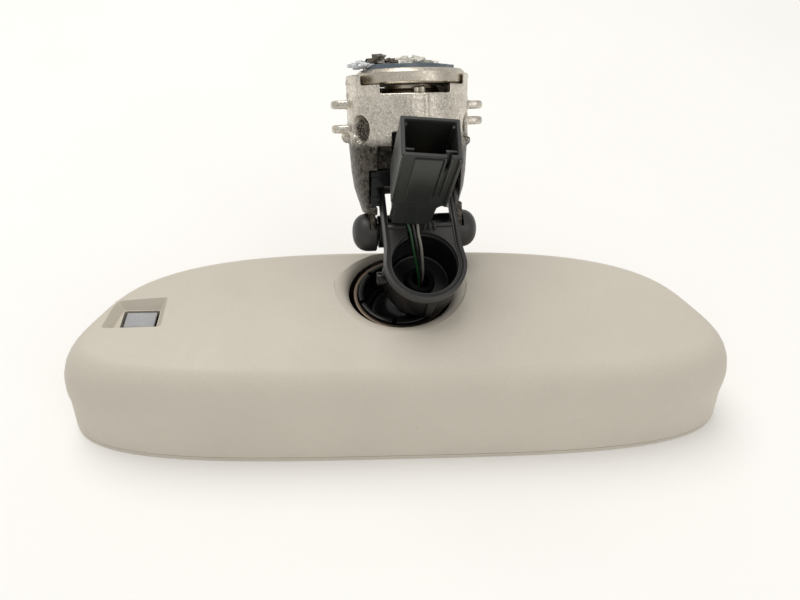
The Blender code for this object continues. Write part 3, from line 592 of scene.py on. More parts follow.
def clear_material(name, colour, roughness, transmission, haze):
    """Glass or clear plastic with faint haze and dust."""
    surface = Surface(name, Transmission_Weight=transmission, IOR=1.49)
    base = surface.mottle((7, 4), [(0.35, colour), (0.7, shade(colour, 0.9))])
    gloss = surface.mottle((2.4, 5), [(0.4, roughness), (0.75, roughness + haze)])
    surface.bump(surface.noise(3.0, 2), 0.004)
    return surface.done(base, gloss)


def mirror_coating(name):
    surface = Surface(name, Metallic=1.0, Coat_Weight=0.6)
    base = surface.mottle((60, 3), [(0.35, (0.62, 0.68, 0.74)), (0.7, (0.70, 0.75, 0.80))])
    gloss = surface.mottle((4, 5), [(0.45, 0.02), (0.8, 0.09)])
    surface.bump(surface.noise(9, 2), 0.002)
    return surface.done(base, gloss)


def foam_material(name):
    surface = Surface(name, Sheen_Weight=0.3)
    base = surface.ramp(surface.cells(0.9), [(0.1, (0.06, 0.06, 0.06)), (0.6, (0.2, 0.2, 0.2))])
    gloss = surface.mottle((1.5, 4), [(0.3, 0.85), (0.7, 0.98)])
    surface.bump(surface.cells(0.9), 0.25)
    return surface.done(base, gloss)


def board_laminate(name):
    """Solder mask with paler copper tracks showing through."""
    surface = Surface(name, Coat_Weight=0.25)
    wave = surface.node("ShaderNodeTexWave", {"Vector": surface.place, "Scale": 190.0, "Distortion": 9.0,
                                              "Detail": 1.0, "Detail Scale": 0.6}).outputs["Fac"]
    track = surface.ramp(wave, [(0.46, 0.0), (0.5, 0.7)])
    base = surface.blend(track, (0.012, 0.085, 0.035, 1), (0.03, 0.19, 0.07, 1))
    gloss = surface.mottle((2, 3), [(0.3, 0.3), (0.7, 0.45)])
    surface.bump(track, 0.02)
    return surface.done(base, gloss)


HOUSING_COLOUR = (0.57, 0.527, 0.45)
ZINC_COLOUR = (0.74, 0.69, 0.60)

MATERIALS = {
    "housing_plastic": housing_plastic("housing_grained_plastic", HOUSING_COLOUR),
    "bezel_plastic": housing_plastic("bezel_grained_plastic", HOUSING_COLOUR),
    "black_plastic": moulded_plastic("black_moulded_plastic", (0.006, 0.0062, 0.0062), 0.25, 0.45, 0.006,
                                     Specular_IOR_Level=0.34),
    "carrier_plastic": moulded_plastic("carrier_dark_plastic", (0.045, 0.045, 0.047), 0.55, 0.8, 0.02),
    "liner_plastic": moulded_plastic("liner_dark_acetal", (0.02, 0.02, 0.02), 0.3, 0.6, 0.006),
    "header_nylon": moulded_plastic("header_nylon_white", (0.66, 0.65, 0.58), 0.45, 0.5, 0.01),
    "chip_epoxy": moulded_plastic("chip_black_epoxy", (0.015, 0.015, 0.016), 0.5, 0.3, 0.012),
    "board_laminate": board_laminate("board_green_laminate"),
    "clear_plastic": clear_material("window_clear_plastic", (0.55, 0.56, 0.58), 0.12, 0.35, 0.2),
    "clear_glass": clear_material("mirror_front_glass", (0.86, 0.92, 0.91), 0.01, 0.92, 0.03),
    "mirror_glass": mirror_coating("mirror_rear_coating"),
    "seal_rubber": moulded_plastic("seal_black_rubber", (0.02, 0.02, 0.02), 0.8, 0.3, 0.02),
    "foam": foam_material("pad_open_foam"),
    "copper": worked_metal("clip_copper", (0.75, 0.4, 0.25), 0.3),
    "brass": worked_metal("pin_brass", (0.72, 0.55, 0.25), 0.25),
    "spring_steel": worked_metal("spring_steel_drawn", (0.16, 0.125, 0.095), 0.4),
    # the foot's metal has painted shade below a height and in its dimples, under painted glints
    "zinc_casting": blasted_metal("foot_blasted_zinc", ZINC_COLOUR, 0.36, 0.4, 0.04, 0.55, (34.0, 39.0),
                                  HOLLOWS),
    "button_metal": blasted_metal("button_fine_metal", (0.60, 0.55, 0.47), 0.34, 0.3, 0.012, 0.25),
    "green_wire": moulded_plastic("wire_green_jacket", (0.008, 0.05, 0.014), 0.3, 0.4, 0.004, 0.1),
    "black_wire": moulded_plastic("wire_black_jacket", (0.015, 0.015, 0.015), 0.3, 0.4, 0.004, 0.1),
    "grey_wire": moulded_plastic("wire_grey_jacket", (0.23, 0.22, 0.195), 0.42, 0.4, 0.006, 0.1),
}
CONNECTOR_PLASTIC = moulded_plastic("connector_satin_plastic", (0.024, 0.0265, 0.024), 0.34, 0.5, 0.008)
CAP_PLASTIC = moulded_plastic("cap_satin_plastic", (0.024, 0.0235, 0.022), 0.4, 0.5, 0.014)
SHROUD_PLASTIC = moulded_plastic("shroud_satin_plastic", (0.027, 0.0265, 0.026), 0.36, 0.5, 0.01)


# ---------------------------------------------------------------- mirror head

def evenly(points, count):
    """Spread a closed outline's points evenly along its length."""
    closed = [Vector(p) for p in points] + [Vector(points[0])]
    lengths = [0.0]
    for a, b in zip(closed, closed[1:]):
        lengths.append(lengths[-1] + (b - a).length)
    spread, k = [], 0
    for i in range(count):
        target = lengths[-1] * i / count
        while lengths[k + 1] < target:
            k += 1
        part = (target - lengths[k]) / (lengths[k + 1] - lengths[k])
        spread.append(tuple(closed[k].lerp(closed[k + 1], part)))
    return spread


def head_outline(inset):
    half_width = HEAD_WIDTH / 2 - inset
    half_depth = HEAD_DEPTH / 2 - inset
    points = []
    fine = 4 * OUTLINE_STEPS
    for i in range(fine):
        angle = math.tau * i / fine
        across, along = math.cos(angle), math.sin(angle)
        power = 2 / (LOWER_SQUARENESS if along < 0 else UPPER_SQUARENESS)
        px = math.copysign(abs(across) ** power, across)
        py = math.copysign(abs(along) ** power, along)
        points.append((px * half_width * (1 - HEAD_TAPER * py), py * half_depth))
    return evenly(points, OUTLINE_STEPS)


def crown_height(x, y):
    """Height of the gently domed back above a point of the plan."""
    inset = DRAFT + SHOULDER_INSET
    py = y / (HEAD_DEPTH / 2 - inset)
    px = x / ((HEAD_WIDTH / 2 - inset) * (1 - HEAD_TAPER * py))
    power = LOWER_SQUARENESS
    reach = (abs(px) ** power + abs(py) ** power) ** (1 / power)
    return SHOULDER_TOP + CROWN * (1 - min(reach, 1) ** 2)


def hole_point(x, y, radius):
    angle = math.atan2(y - HOLE_CENTRE[1], x - HOLE_CENTRE[0])
    return HOLE_CENTRE[0] + radius * math.cos(angle), HOLE_CENTRE[1] + radius * math.sin(angle)


def housing_loops(thickness):
    """Loops of one face of the housing's shell: up the wall, over the shoulder and in to the middle of the back.
    """
    pairs = [(thickness, BEZEL_TOP + GAP), (DRAFT * 0.5 + thickness, (BEZEL_TOP + WALL_TOP) / 2),
             (DRAFT + thickness, WALL_TOP)]
    for i in range(1, SHOULDER_STEPS + 1):
        angle = math.pi / 2 * i / SHOULDER_STEPS
        inset = DRAFT + thickness + (SHOULDER_INSET - thickness * 0.4) * (1 - math.cos(angle))
        pairs.append((inset, WALL_TOP + (SHOULDER_TOP - thickness - WALL_TOP) * math.sin(angle)))
    loops = [level(head_outline(inset), height) for inset, height in pairs]
    edge = loops[-1]
    for i in range(1, CROWN_STEPS + 1):
        part = i / CROWN_STEPS
        loop = []
        for x, y, _ in edge:
            middle = hole_point(x, y, CROWN_CENTRE_RADIUS)
            px, py = x + (middle[0] - x) * part, y + (middle[1] - y) * part
            loop.append((px, py, crown_height(px, py) - thickness))
        loops.append(loop)
    return loops


def hole_shape():
    """Rounded funnel that opens the back of the housing round the arm."""
    drop = HOLE_LIP_RADIUS - HOLE_RADIUS
    start = HOLE_LIP_TOP - HOLE_DEPTH
    profile = [(0, SHOULDER_TOP / 2), (HOLE_RADIUS, SHOULDER_TOP / 2)]
    for i in range(11):
        part = math.pi / 2 * i / 10
        profile.append((HOLE_LIP_RADIUS - drop * math.cos(part), start + HOLE_DEPTH * math.sin(part)))
    profile += [(HOLE_LIP_RADIUS, HOLE_LIP_TOP + 4), (0, HOLE_LIP_TOP + 4)]
    return turned(profile, 144, HOLE_CENTRE)


def rounded_frustum(sections, centre, corner, slant=0.0):
    """A tapered plug with round corners; sections are (width, depth, height)."""
    loops = []
    for width, depth, height in sections:
        x, y = width / 2, depth / 2
        outline = rounded([(-x - slant, -y), (x, -y), (x, y), (-x, y)], corner, 5)
        loops.append([(centre[0] + px, centre[1] + py, height) for px, py in outline])
    return loft(loops)


def build_housing():
    inner = housing_loops(SHELL)
    inner.insert(0, [(x, y, 0) for x, y, _ in inner[0]])
    low, high = HOLE_LIP_TOP - HOLE_DEPTH - 0.6, SHOULDER_TOP + CROWN + 2
    hollow = mesh_object("hollow", loft(inner), HEAD)
    cut(hollow, turned([(HOLE_RADIUS - 1, low), (COLLAR_RADIUS, low), (COLLAR_RADIUS, high),
                        (HOLE_RADIUS - 1, high)], 144, HOLE_CENTRE))
    housing = mesh_object("housing_shell", loft(housing_loops(0)), HEAD)
    combine(housing, hollow, "DIFFERENCE")
    cut(housing, hole_shape())
    join(housing, rounded_frustum(WINDOW_POCKET, WINDOW, 1.6, 1.2))
    cut(housing, rounded_frustum(WINDOW_FUNNEL, WINDOW, 1.2, 2.2))
    cut(housing, rounded_frustum(WINDOW_THROAT, WINDOW, 0.8))
    finished(housing, "mirror_head", "housing_plastic", ["rear_housing"], sharp=28)


def ring_from(pairs):
    return loft([level(head_outline(inset), z) for inset, z in pairs], ring=True)


def build_bezel_and_glass():
    section = rounded([(0, 0), (0, BEZEL_TOP), (3.0, BEZEL_TOP), (3.0, 6.4), (3.9, 6.4), (3.9, 1.1),
                       (5.2, 1.1), (5.6, 0.6), (5.6, 0)], 0.7, 4)
    bezel = mesh_object("bezel_lip", ring_from(section), HEAD)
    finished(bezel, "mirror_head", "bezel_plastic", ["bezel_ring"])
    for name, inset, (low, high), node, slot in (
            ("front_pane", 4.2, FRONT_GLASS, "front_glass", "clear_glass"),
            ("mirror_pane", 4.8, REAR_GLASS, "rear_glass", "mirror_glass")):
        chamfer = 0.25
        pairs = [(inset + chamfer, low), (inset, low + chamfer), (inset, high - chamfer),
                 (inset + chamfer, high)]
        pane = loft([level(head_outline(d), z) for d, z in pairs])
        finished(mesh_object(name, pane, HEAD), "mirror_head", slot, [node])


# ---------------------------------------------------------------- ball joint

def build_socket():
    """Glossy cup with a slotted sleeve, and the spring ring that grips it."""
    x, y = HOLE_CENTRE
    z = BALL_HEIGHT
    rise = math.degrees(math.asin(SOCKET_RISE / SOCKET_CAVITY))
    inner, outer = SLEEVE
    foot_low, foot_high = SOCKET_FOOT
    outside = [(SOCKET_FOOT_RADIUS, foot_low), (SOCKET_FOOT_RADIUS, foot_high), (outer + 2.2, foot_high),
               (outer, foot_high + 2.2), (outer, SLEEVE_TOP), (inner, SLEEVE_TOP),
               (inner, z + SOCKET_RISE + 3.0), (inner - 1.2, z + SOCKET_RISE)]
    cavity = [(r, z + h) for r, h in arc(SOCKET_CAVITY, rise, -68, 20)]
    profile = rounded(outside + cavity + [(cavity[-1][0], foot_low)], 0.5)
    socket = mesh_object("socket_cup", turned(profile, 120, (x, y)), HEAD)
    for angle in (20, 80, 140):
        slot = soft_block((-20, -0.9, z + SOCKET_RISE + 1.5), (20, 0.9, SLEEVE_TOP + 2), 0.3)
        bmesh.ops.transform(slot, matrix=Matrix.Translation((x, y, 0)) @ turn(angle, "Z"), verts=slot.verts)
        cut(socket, slot)
    cut(socket, block((x - 30, y - 3.2, foot_high + 0.6), (x, y + 3.2, foot_high + 5)))
    finished(socket, "mirror_head", "black_plastic", ["ball_socket"])

    low, high = SLEEVE_TOP - 5.2, SLEEVE_TOP - 1.0
    band = rounded([(outer + GAP, low), (outer + 1.8, low), (outer + 1.8, high), (outer + GAP, high)], 0.35)
    ring = mesh_object("grip_ring", turned(band, 120, (x, y)), HEAD)
    cut(ring, block((x - 1.1, y + 10, low - 1), (x + 1.1, y + 22, high + 1)))
    finished(ring, "mirror_head", "spring_steel", ["retaining_ring"])


def build_pivot():
    neck = math.degrees(math.acos(NECK_RADIUS / BALL_RADIUS))
    top = STUD_LINE.length / MM + 2.0
    profile = arc(BALL_RADIUS, BALL_OPENING, neck, 32)
    profile += [(NECK_RADIUS, top - 0.4), (NECK_RADIUS - 0.4, top), (WIRE_BORE, top), (WIRE_BORE, 0),
                (WIRE_FLARE, profile[0][1])]
    finished(mesh_object("pivot_stud", turned(profile, 96), STUD), "arm", "black_plastic", ["pivot_ball"])


# ---------------------------------------------------------------- arm

def build_arm():
    """Tube with a domed floor, a web to the hinge barrel, a screw boss and a tab under the ring."""
    profile = rounded([(0, TUBE_START), (TUBE_RADIUS - 3.6, TUBE_START),
                       (TUBE_RADIUS - 1.0, TUBE_START + 1.0), (TUBE_RADIUS, TUBE_START + 3.6),
                       (TUBE_RADIUS, 22.6), (TUBE_RADIUS + 0.35, 23.0),
                       (TUBE_RADIUS + 0.35, TUBE_END), (TUBE_BORE, TUBE_END), (TUBE_BORE, TUBE_FLOOR),
                       (0, TUBE_FLOOR)], 1.2, 6)
    arm = mesh_object("arm_tube", turned(profile, 128), TUBE)
    web = soft_block((-7, TUBE_RADIUS - 1.0, HINGE_Z - 3.5), (7, HINGE_Y - 3.8, HINGE_Z + 4.0), 0.6)
    barrel = turned(rounded([(AXLE_RADIUS + GAP, -BARREL_HALF), (BARREL_RADIUS, -BARREL_HALF),
                             (BARREL_RADIUS, BARREL_HALF), (AXLE_RADIUS + GAP, BARREL_HALF)], 0.5), 72)
    join(arm, web)
    join(arm, along_x(barrel, (0, HINGE_Y, HINGE_Z)))
    boss = rounded([(0, 12.4), (2.4, 12.4), (2.4, 16.4), (1.2, 16.4), (1.2, 15.8), (0, 15.8)], 0.35)
    join(arm, along_x(turned(boss, 40), (0, -1.0, 18.0), flip=True))
    rib = (-14.9, -2.2, TUBE_START + 5), (-12.6, 0.2, TUBE_END - 0.6)
    tab = (-0.4, -TUBE_RADIUS - 1.0, TUBE_START + 3), (2.8, -TUBE_RADIUS + 1.0, TUBE_END - 0.3)
    for low, high in (rib, tab):
        join(arm, soft_block(low, high, 0.4))
    cut(arm, disc(NECK_RADIUS + GAP, STUD_LINE.length / MM - 6, STUD_LINE.length / MM + 6), place=STUD)
    finished(arm, "arm", "black_plastic", ["arm_body"])


def build_shroud():
    """Beaded rim round the mouth of the tube, with two rails, a cross bar and the wire clip."""
    low, high = SHROUD
    outline = arc(SHROUD_RADIUS, 180, 360, 72)
    outline += [(RAIL_HALF + 0.3, 4.2), (RAIL_HALF, 6.5), (RAIL_HALF, RAIL_TOPS[1]),
                (-RAIL_HALF, RAIL_TOPS[1]), (-RAIL_HALF, 6.5), (-RAIL_HALF - 0.3, 4.2)]
    section = rounded([(0, low), (0, high - 0.3), (0.9, high), (1.5, high - 0.2), (1.7, high - 0.8),
                       (RAIL_WIDTH, high - 0.9), (RAIL_WIDTH, low)], 0.35, 3)
    rim = loft([level(offset(outline, d), z) for d, z in section], ring=True)
    shroud = mesh_object("shroud_rim", rim, TUBE)
    gap = RAIL_HALF - RAIL_WIDTH
    cut(shroud, block((-gap, BAR_TOP + 4, low - 1), (gap, RAIL_TOPS[1] + 1, high + 1)))
    cut(shroud, block((-RAIL_HALF - 1, RAIL_TOPS[0], low - 1), (0, RAIL_TOPS[1] + 1, high + 1)))
    web = prism(arc(SHROUD_RADIUS - 1.6, 180, 360, 60) + [(gap + 0.6, 5), (gap + 0.6, BAR_TOP),
                                                           (-gap - 0.6, BAR_TOP), (-gap - 0.6, 5)],
                low + 0.2, high - 1.2)
    plate = mesh_object("plate", web, TUBE)
    cut(plate, disc(SHROUD_BORE, low - 1, high + 1, steps=96))
    cut(plate, block((NOTCH[0], SHROUD_BORE - 3, low - 1), (NOTCH[1], BAR_TOP + 1, high + 1)))
    combine(shroud, plate, "UNION")
    for x0, x1 in ((-gap, NOTCH[0]), (NOTCH[1], gap)):
        join(shroud, soft_block((x0 - 0.4, BAR_TOP - 1.5, low + 0.1), (x1, BAR_TOP, high - 0.5), 0.3))
    for x0 in (0.8, 2.6, 4.4):
        clip = soft_block((x0, BAR_TOP - 2.6, high - 2.0), (x0 + 1.0, BAR_TOP + 0.6, high + 0.1), 0.25)
        join(shroud, clip)
    finished(shroud, "arm", "black_plastic", ["arm_shroud"], material=SHROUD_PLASTIC)


def box_outline(width, depth, corner):
    x, y = width / 2, depth / 2
    return rounded([(-x, -y), (x, -y), (x, y), (-x, y)], corner, 4)


def build_connector():
    """Rectangular socket on a narrower stem, with keyways inside its mouth and guide ribs in front."""
    width, depth = CONNECTOR_SIZE
    high = CONNECTOR_LENGTH
    levels = [(13.4, 10.5, 0), (14.4, 11.6, 12), (width, depth, 17), (width, depth, high - 0.3),
              (width - 0.5, depth - 0.5, high)]
    body = loft([level(box_outline(w, d, 0.6), z) for w, d, z in levels])
    shell = mesh_object("connector_shell", body, CONNECTOR)
    inner_x, inner_y = width / 2 - CONNECTOR_WALL, depth / 2 - CONNECTOR_WALL
    front = -depth / 2
    mouth = [(inner_x * 2, inner_y * 2, SOCKET_FLOOR), (inner_x * 2, inner_y * 2, high - 0.5),
             (inner_x * 2 + 1.0, inner_y * 2 + 1.0, high + 0.5)]
    cut(shell, loft([level(box_outline(w, d, 0.4), z) for w, d, z in mouth]))
    cut(shell, block((-4.2, -2.2, -1), (4.2, 2.2, SOCKET_FLOOR + 1)))
    cut(shell, soft_block((4.4, front - 1, high - 7.5), (5.9, front + CONNECTOR_WALL + 0.3, high + 1), 0.2))
    additions = [
        ((-inner_x - 0.3, -inner_y + 1.3, SOCKET_FLOOR + 2), (-inner_x + 2.7, -inner_y + 2.0, high - 0.9)),
        ((inner_x - 3.3, -inner_y + 1.3, SOCKET_FLOOR + 2), (inner_x + 0.3, -inner_y + 2.0, high - 0.9)),
        ((-inner_x - 0.3, inner_y - 1.4, SOCKET_FLOOR + 2), (-inner_x + 0.8, inner_y + 0.3, high - 1.2)),
        ((inner_x - 0.8, inner_y - 1.4, SOCKET_FLOOR + 2), (inner_x + 0.3, inner_y + 0.3, high - 1.2)),
        ((-4.9, front - 0.5, 19.0), (3.6, front + 0.4, high - 1.2)),
        ((3.9, front - 0.9, 22.0), (4.5, front + 0.4, high - 0.5)),
        ((5.8, front - 0.9, 22.0), (6.4, front + 0.4, high - 0.5)),
        ((width / 2 - 0.9, front - 1.3, 17.5), (width / 2, front + 0.6, high - 0.4)),
        ((-width / 2, front - 0.6, 17.5), (-width / 2 + 0.8, front + 0.6, high - 0.4)),
        ((-7.9, -5.0, 2.0), (-6.3, -4.2, 13.0)),
        ((-2.2, -5.7, 1.0), (2.2, -4.8, 12.0)),
    ]
    for low, top in additions:
        join(shell, soft_block(low, top, 0.15))
    for z in (4.2, 6.6, 9.0):
        cut(shell, block((-7.5, -6, z), (-6.75, -3, z + 1.3)))
    soften(shell, 0.18, 2)
    finished(shell, "arm", "black_plastic", ["connector_housing"], material=CONNECTOR_PLASTIC)


def build_caps():
    """Domed end caps that snap over the axle's ends and the foot's cheeks."""
    skirt, low, high = CAP_SPAN
    hole, hollow = AXLE_RADIUS + GAP, CHEEK_RADIUS + GAP
    start = low - 0.6
    dome = []
    for i in range(25):
        part = math.sin(math.pi / 2 * i / 24)
        dome.append((CAP_RADIUS * (1 - part ** 2.5) ** (1 / 2.3), start + (high - start) * part))
    dome[-1] = (0, high)
    profile = [(hole, low), (hollow, low), (hollow, skirt), (CAP_RADIUS - 0.3, skirt),
               (CAP_RADIUS, skirt + 0.3)]
    profile += dome + [(0, AXLE_HALF + GAP), (hole, AXLE_HALF + GAP)]
    for name, side in (("right", 1), ("left", -1)):
        bm = along_x(turned(profile, 80), flip=side < 0)
        cap = mesh_object(f"pivot_cap_{name}", bm, HINGE)
        ends = sorted((side * (skirt - 1), side * low))
        cut(cap, block((ends[0], -9, 2.0), (ends[1], 9, 9)))
        cut(cap, block((ends[0], 3.0, -1.0), (ends[1], 9, 9)))
        finished(cap, "arm", "black_plastic", [f"hinge_cap_{name}"], material=CAP_PLASTIC)


# ---------------------------------------------------------------- foot

def lifted(value):
    """Height in the foot's frame, whose origin is on the hinge."""
    return value - HINGE_REACH


def cheek_end(side):
    """Round-ended tongue that carries one cheek of the fork down to the axle."""
    outline = arc(CHEEK_RADIUS, 150, 370, 48) + [(7.0, 10.5), (-4.4, 10.5)]
    near, far = sorted((side * CHEEK[0], side * CHEEK[1]))
    return loft([[(x, y, z) for y, z in outline] for x in (near, far)])


def ball(radius, place, scale=(1, 1, 1)):
    bm = bmesh.new()
    bmesh.ops.create_uvsphere(bm, u_segments=32, v_segments=20, radius=radius)
    bmesh.ops.scale(bm, vec=scale, verts=bm.verts)
    bmesh.ops.translate(bm, vec=place, verts=bm.verts)
    return bm


def lug(side, height):
    """Flat tongue with a rounded end that stands out of the casting's side."""
    near, far = side * 19.0, side * LUG_REACH
    outline = [(near, -4.6), (far - side * 2.4, -3.6), (far, -1.8), (far, 1.8), (far - side * 2.4, 3.6),
               (near, 4.6)]
    if side < 0:
        outline.reverse()
    return soft_prism(rounded(outline, 1.4, 4), lifted(height) - 1.45, lifted(height) + 1.45, 0.9)


def foot_casting():
    inner = FOOT_RADIUS - FOOT_WALL
    floor = FOOT_HIGH - 4.4
    seat = BUTTON_RADIUS + GAP - BUTTON_OFFSET
    profile = [(FORK_RADIUS, 16.0), (FORK_RADIUS, 32.0), (FORK_SHOULDER - 0.7, 41.5), (FORK_SHOULDER, 47.0),
               (FOOT_RADIUS, 60.6), (FOOT_RADIUS, 72.6), (FOOT_RADIUS - 0.25, 72.9),
               (FOOT_RADIUS - 0.1, 73.6), (FOOT_RADIUS, EAR_TOP), (seat, EAR_TOP), (seat, FOOT_HIGH),
               (BOSS_BORE, FOOT_HIGH), (BOSS_BORE, floor), (inner, floor - 1.0), (inner, FOOT_LOW),
               (FORK_SHOULDER - FOOT_WALL - 0.7, 41.5), (FORK_RADIUS - 2.6, 32.0), (FORK_RADIUS - 2.6, 16.0)]
    foot = mesh_object("foot_casting", turned([(r, lifted(z)) for r, z in profile], 120), FOOT)
    for low, high in (((-30, 8.5, -20), (30, 30, lifted(37.0))),
                      ((-30, -30, -20), (30, 30, 7.6)),
                      ((-11.8, -30, lifted(73.7)), (11.8, -8, lifted(FOOT_HIGH + 1))),
                      ((-17.5, -30, lifted(FOOT_HIGH + 0.01)), (17.5, 0, lifted(EAR_TOP + 1))),
                      ((-14, 0, lifted(FOOT_HIGH + 0.01)), (14, 30, lifted(EAR_TOP + 1)))):
        cut(foot, block(low, high))
    cut(foot, disc(BUTTON_RADIUS + GAP, lifted(FOOT_HIGH), lifted(EAR_TOP + 1), (BUTTON_OFFSET, 0), 120))
    cut(foot, block((-FORK_GAP, -30, -20), (FORK_GAP, 0, lifted(FOOT_LOW))), HINGE)
    cut(foot, block((-17.6, -30, 10.6), (-FORK_GAP + 1, 1.5, 23.6)), HINGE)
    cut(foot, block((-8.4, -30, lifted(55.6)), (-2.5, -8, lifted(61.4))))
    join(foot, block((-17.0, -12.6, 24.0), (-9.6, -9.0, 32.2)), HINGE)
    for side in (-1, 1):
        join(foot, cheek_end(side), HINGE)
    for place, _ in HOLLOWS:
        turn_to = math.atan2(place[1], place[0])
        dimple = ball(DIMPLE_RADIUS, (0, 0, 0), (0.6, 1, 1))
        bmesh.ops.transform(dimple, matrix=Matrix.Translation(place) @ Matrix.Rotation(turn_to, 4, "Z"),
                            verts=dimple.verts)
        cut(foot, dimple)
    for side, height in LUGS:
        join(foot, lug(side, height))
    for radius, x, y, z in BUMPS:
        join(foot, ball(radius, (x, y, lifted(z))))
    parting = arc(FOOT_RADIUS + 0.22, -82.6, -80.4, 3) + arc(FOOT_RADIUS - 1.0, -80.4, -82.6, 3)
    join(foot, prism(parting, lifted(61.5), lifted(73.2)))
    cut(foot, along_x(disc(AXLE_RADIUS + 0.1, -30, 30)), HINGE)
    return foot


def roughen(obj):
    """Ragged burrs where the casting's wall was trimmed, and the slow waves of its die face."""
    low, high = lifted(56.0), lifted(61.5)
    mesh = obj.data
    normals = [vert.normal.copy() for vert in mesh.vertices]
    for vert, normal in zip(mesh.vertices, normals):
        place = vert.co / MM
        wave = 0.05 * noise.noise(place * 0.45)
        radius = math.hypot(place.x, place.y)
        band = max(0.0, 1 - abs((place.z - (low + high) / 2) / (high - low) * 2)) if radius > 16.5 else 0.0
        burr = band * (0.42 * noise.noise(place * 0.9) + 0.3 * noise.noise(place * 2.1))
        vert.co += normal * (wave + burr) * MM


def build_foot():
    foot = foot_casting()
    cast(foot, 0.34, 3, 0.5)
    roughen(foot)
    finished(foot, "foot", "zinc_casting", ["mount_foot"], sharp=60)


def build_button():
    """Turned button: a bevelled disc on a necked boss that the foot's spring grips."""
    low, high = BUTTON
    profile = [(0, high), (0, low - 6.2), (8.6, low - 6.2), (8.6, low - 4.8), (7.8, low - 4.2),
               (7.8, low - 2.4), (9.4, low - 1.4), (9.4, low), (BUTTON_RADIUS - 0.6, low),
               (BUTTON_RADIUS, low + 0.6), (BUTTON_RADIUS, high - 1.2), (BUTTON_RADIUS - 1.2, high)]
    raised = [(radius, lifted(height)) for radius, height in profile]
    button = mesh_object("bonded_button", turned(rounded(raised, 0.35), 128, (BUTTON_OFFSET, 0)), FOOT)
    finished(button, "foot", "button_metal", ["windscreen_button"])


def glass_lump(draw, centre, size, flat=0.55):
    """One broken piece of glass: the hull of a few random corners."""
    lump = bmesh.new()
    for _ in range(11):
        corner = Vector((draw.uniform(-1, 1), draw.uniform(-1, 1), draw.uniform(-flat, flat)))
        lump.verts.new(Vector(centre) + corner * size)
    hull = bmesh.ops.convex_hull(lump, input=lump.verts)
    unused = [vert for vert in hull["geom_interior"] if isinstance(vert, bmesh.types.BMVert)]
    bmesh.ops.delete(lump, geom=unused, context="VERTS")
    return lump


def build_glass_remnant():
    """Crushed windscreen glass that still sticks to the button, as a torn sheet under loose crumbs."""
    draw = random.Random(11)
    top = lifted(BUTTON[1])
    sheet_outline = []
    for i in range(SHEET_CORNERS):
        angle = math.tau * i / SHEET_CORNERS
        radius = SHEET_RADIUS + math.sin(2 * angle + 0.6) + draw.uniform(-0.9, 0.7)
        sheet_outline.append((radius * math.cos(angle) + 0.6, radius * math.sin(angle) * 0.98))
    sheet = mesh_object("glass_sheet", prism(sheet_outline, top + 0.02, top + 1.5), FOOT)
    soften(sheet, 0.12, 1)
    tint = clear_material("crushed_glass_tinted", (0.16, 0.21, 0.26), 0.14, 0.35, 0.25)
    finished(sheet, "foot", "clear_glass", [], material=tint)
    for name, count, colour, middle, spread, rise, size in GLASS_HEAPS:
        crumbs = []
        for _ in range(count):
            angle, reach = draw.uniform(0, math.tau), draw.random() ** 0.6
            x = middle[0] + spread[0] * reach * math.cos(angle)
            y = middle[1] + spread[1] * reach * math.sin(angle)
            height = top + 1.0 + draw.random() * rise * (1 - 0.55 * reach)
            crumbs.append(glass_lump(draw, (x, y, height), draw.uniform(0.6, 1.3) * size))
        piece = mesh_object(name, merged(crumbs), FOOT)
        clear = clear_material(name + "_glass", colour, 0.16, 0.35, 0.3)
        finished(piece, "foot", "clear_glass", [], sharp=12, material=clear)


def build_fittings():
    wire = [(SPRING_RADIUS + x, lifted(SPRING_HEIGHT) + z) for x, z in arc(SPRING_WIRE, 0, 337.5, 15)]
    spring = mesh_object("wire_spring", turned(wire, 96, (BUTTON_OFFSET, 0)), FOOT)
    cut(spring, block((-3, 2, lifted(70)), (3, 20, lifted(78))))
    finished(spring, "foot", "spring_steel", ["retaining_spring"])
    pin_profile = rounded([(0, -1.0), (1.5, -1.0), (1.5, 1.0), (0.9, 1.5), (0, 1.5)], 0.35)
    middle = lifted(PIN_HEIGHT)
    pin = mesh_object("stop_pin", turned([(r, middle + z) for r, z in pin_profile], 48, (3.2, -12.2)), FOOT)
    join(pin, turned([(r * 0.8, middle + z * 0.85) for r, z in pin_profile], 48, (1.3, -12.6)))
    finished(pin, "foot", "button_metal", ["spring_pin"])
    insert = mesh_object("stepped_insert", soft_block((-17.3, -11.5, 17.6), (-9.6, -2.0, 23.4), 0.35), HINGE)
    steps = [((-17.2, -11.0, 10.9), (-14.15, -1.0, 18.2)), ((-17.0, -12.3, 19.4), (-12.2, -11.0, 21.2)),
             ((-11.4, -10.4, 22.8), (-8.2, -6.0, 31.4)), ((-9.2, -17.0, 30.6), (-5.2, -8.6, 36.2)),
             ((-16.4, -12.1, 13.0), (-14.4, -10.6, 14.4))]
    for corner, far in steps:
        join(insert, soft_block(corner, far, 0.2))
    finished(insert, "foot", "black_plastic", ["side_insert"])


# ---------------------------------------------------------------- wires

def smooth_route(route, count):
    """Points spread along a smooth curve through the route's own points."""
    points = [2 * route[0] - route[1]] + route + [2 * route[-1] - route[-2]]
    spans = len(points) - 3
    result = []
    for i in range(count + 1):
        place = spans * i / count
        k = min(int(place), spans - 1)
        t = place - k
        a, b, c, d = points[k:k + 4]
        result.append(0.5 * (2 * b + (c - a) * t + (2 * a - 5 * b + 4 * c - d) * t ** 2
                             + (3 * b - a - 3 * c + d) * t ** 3))
    return result


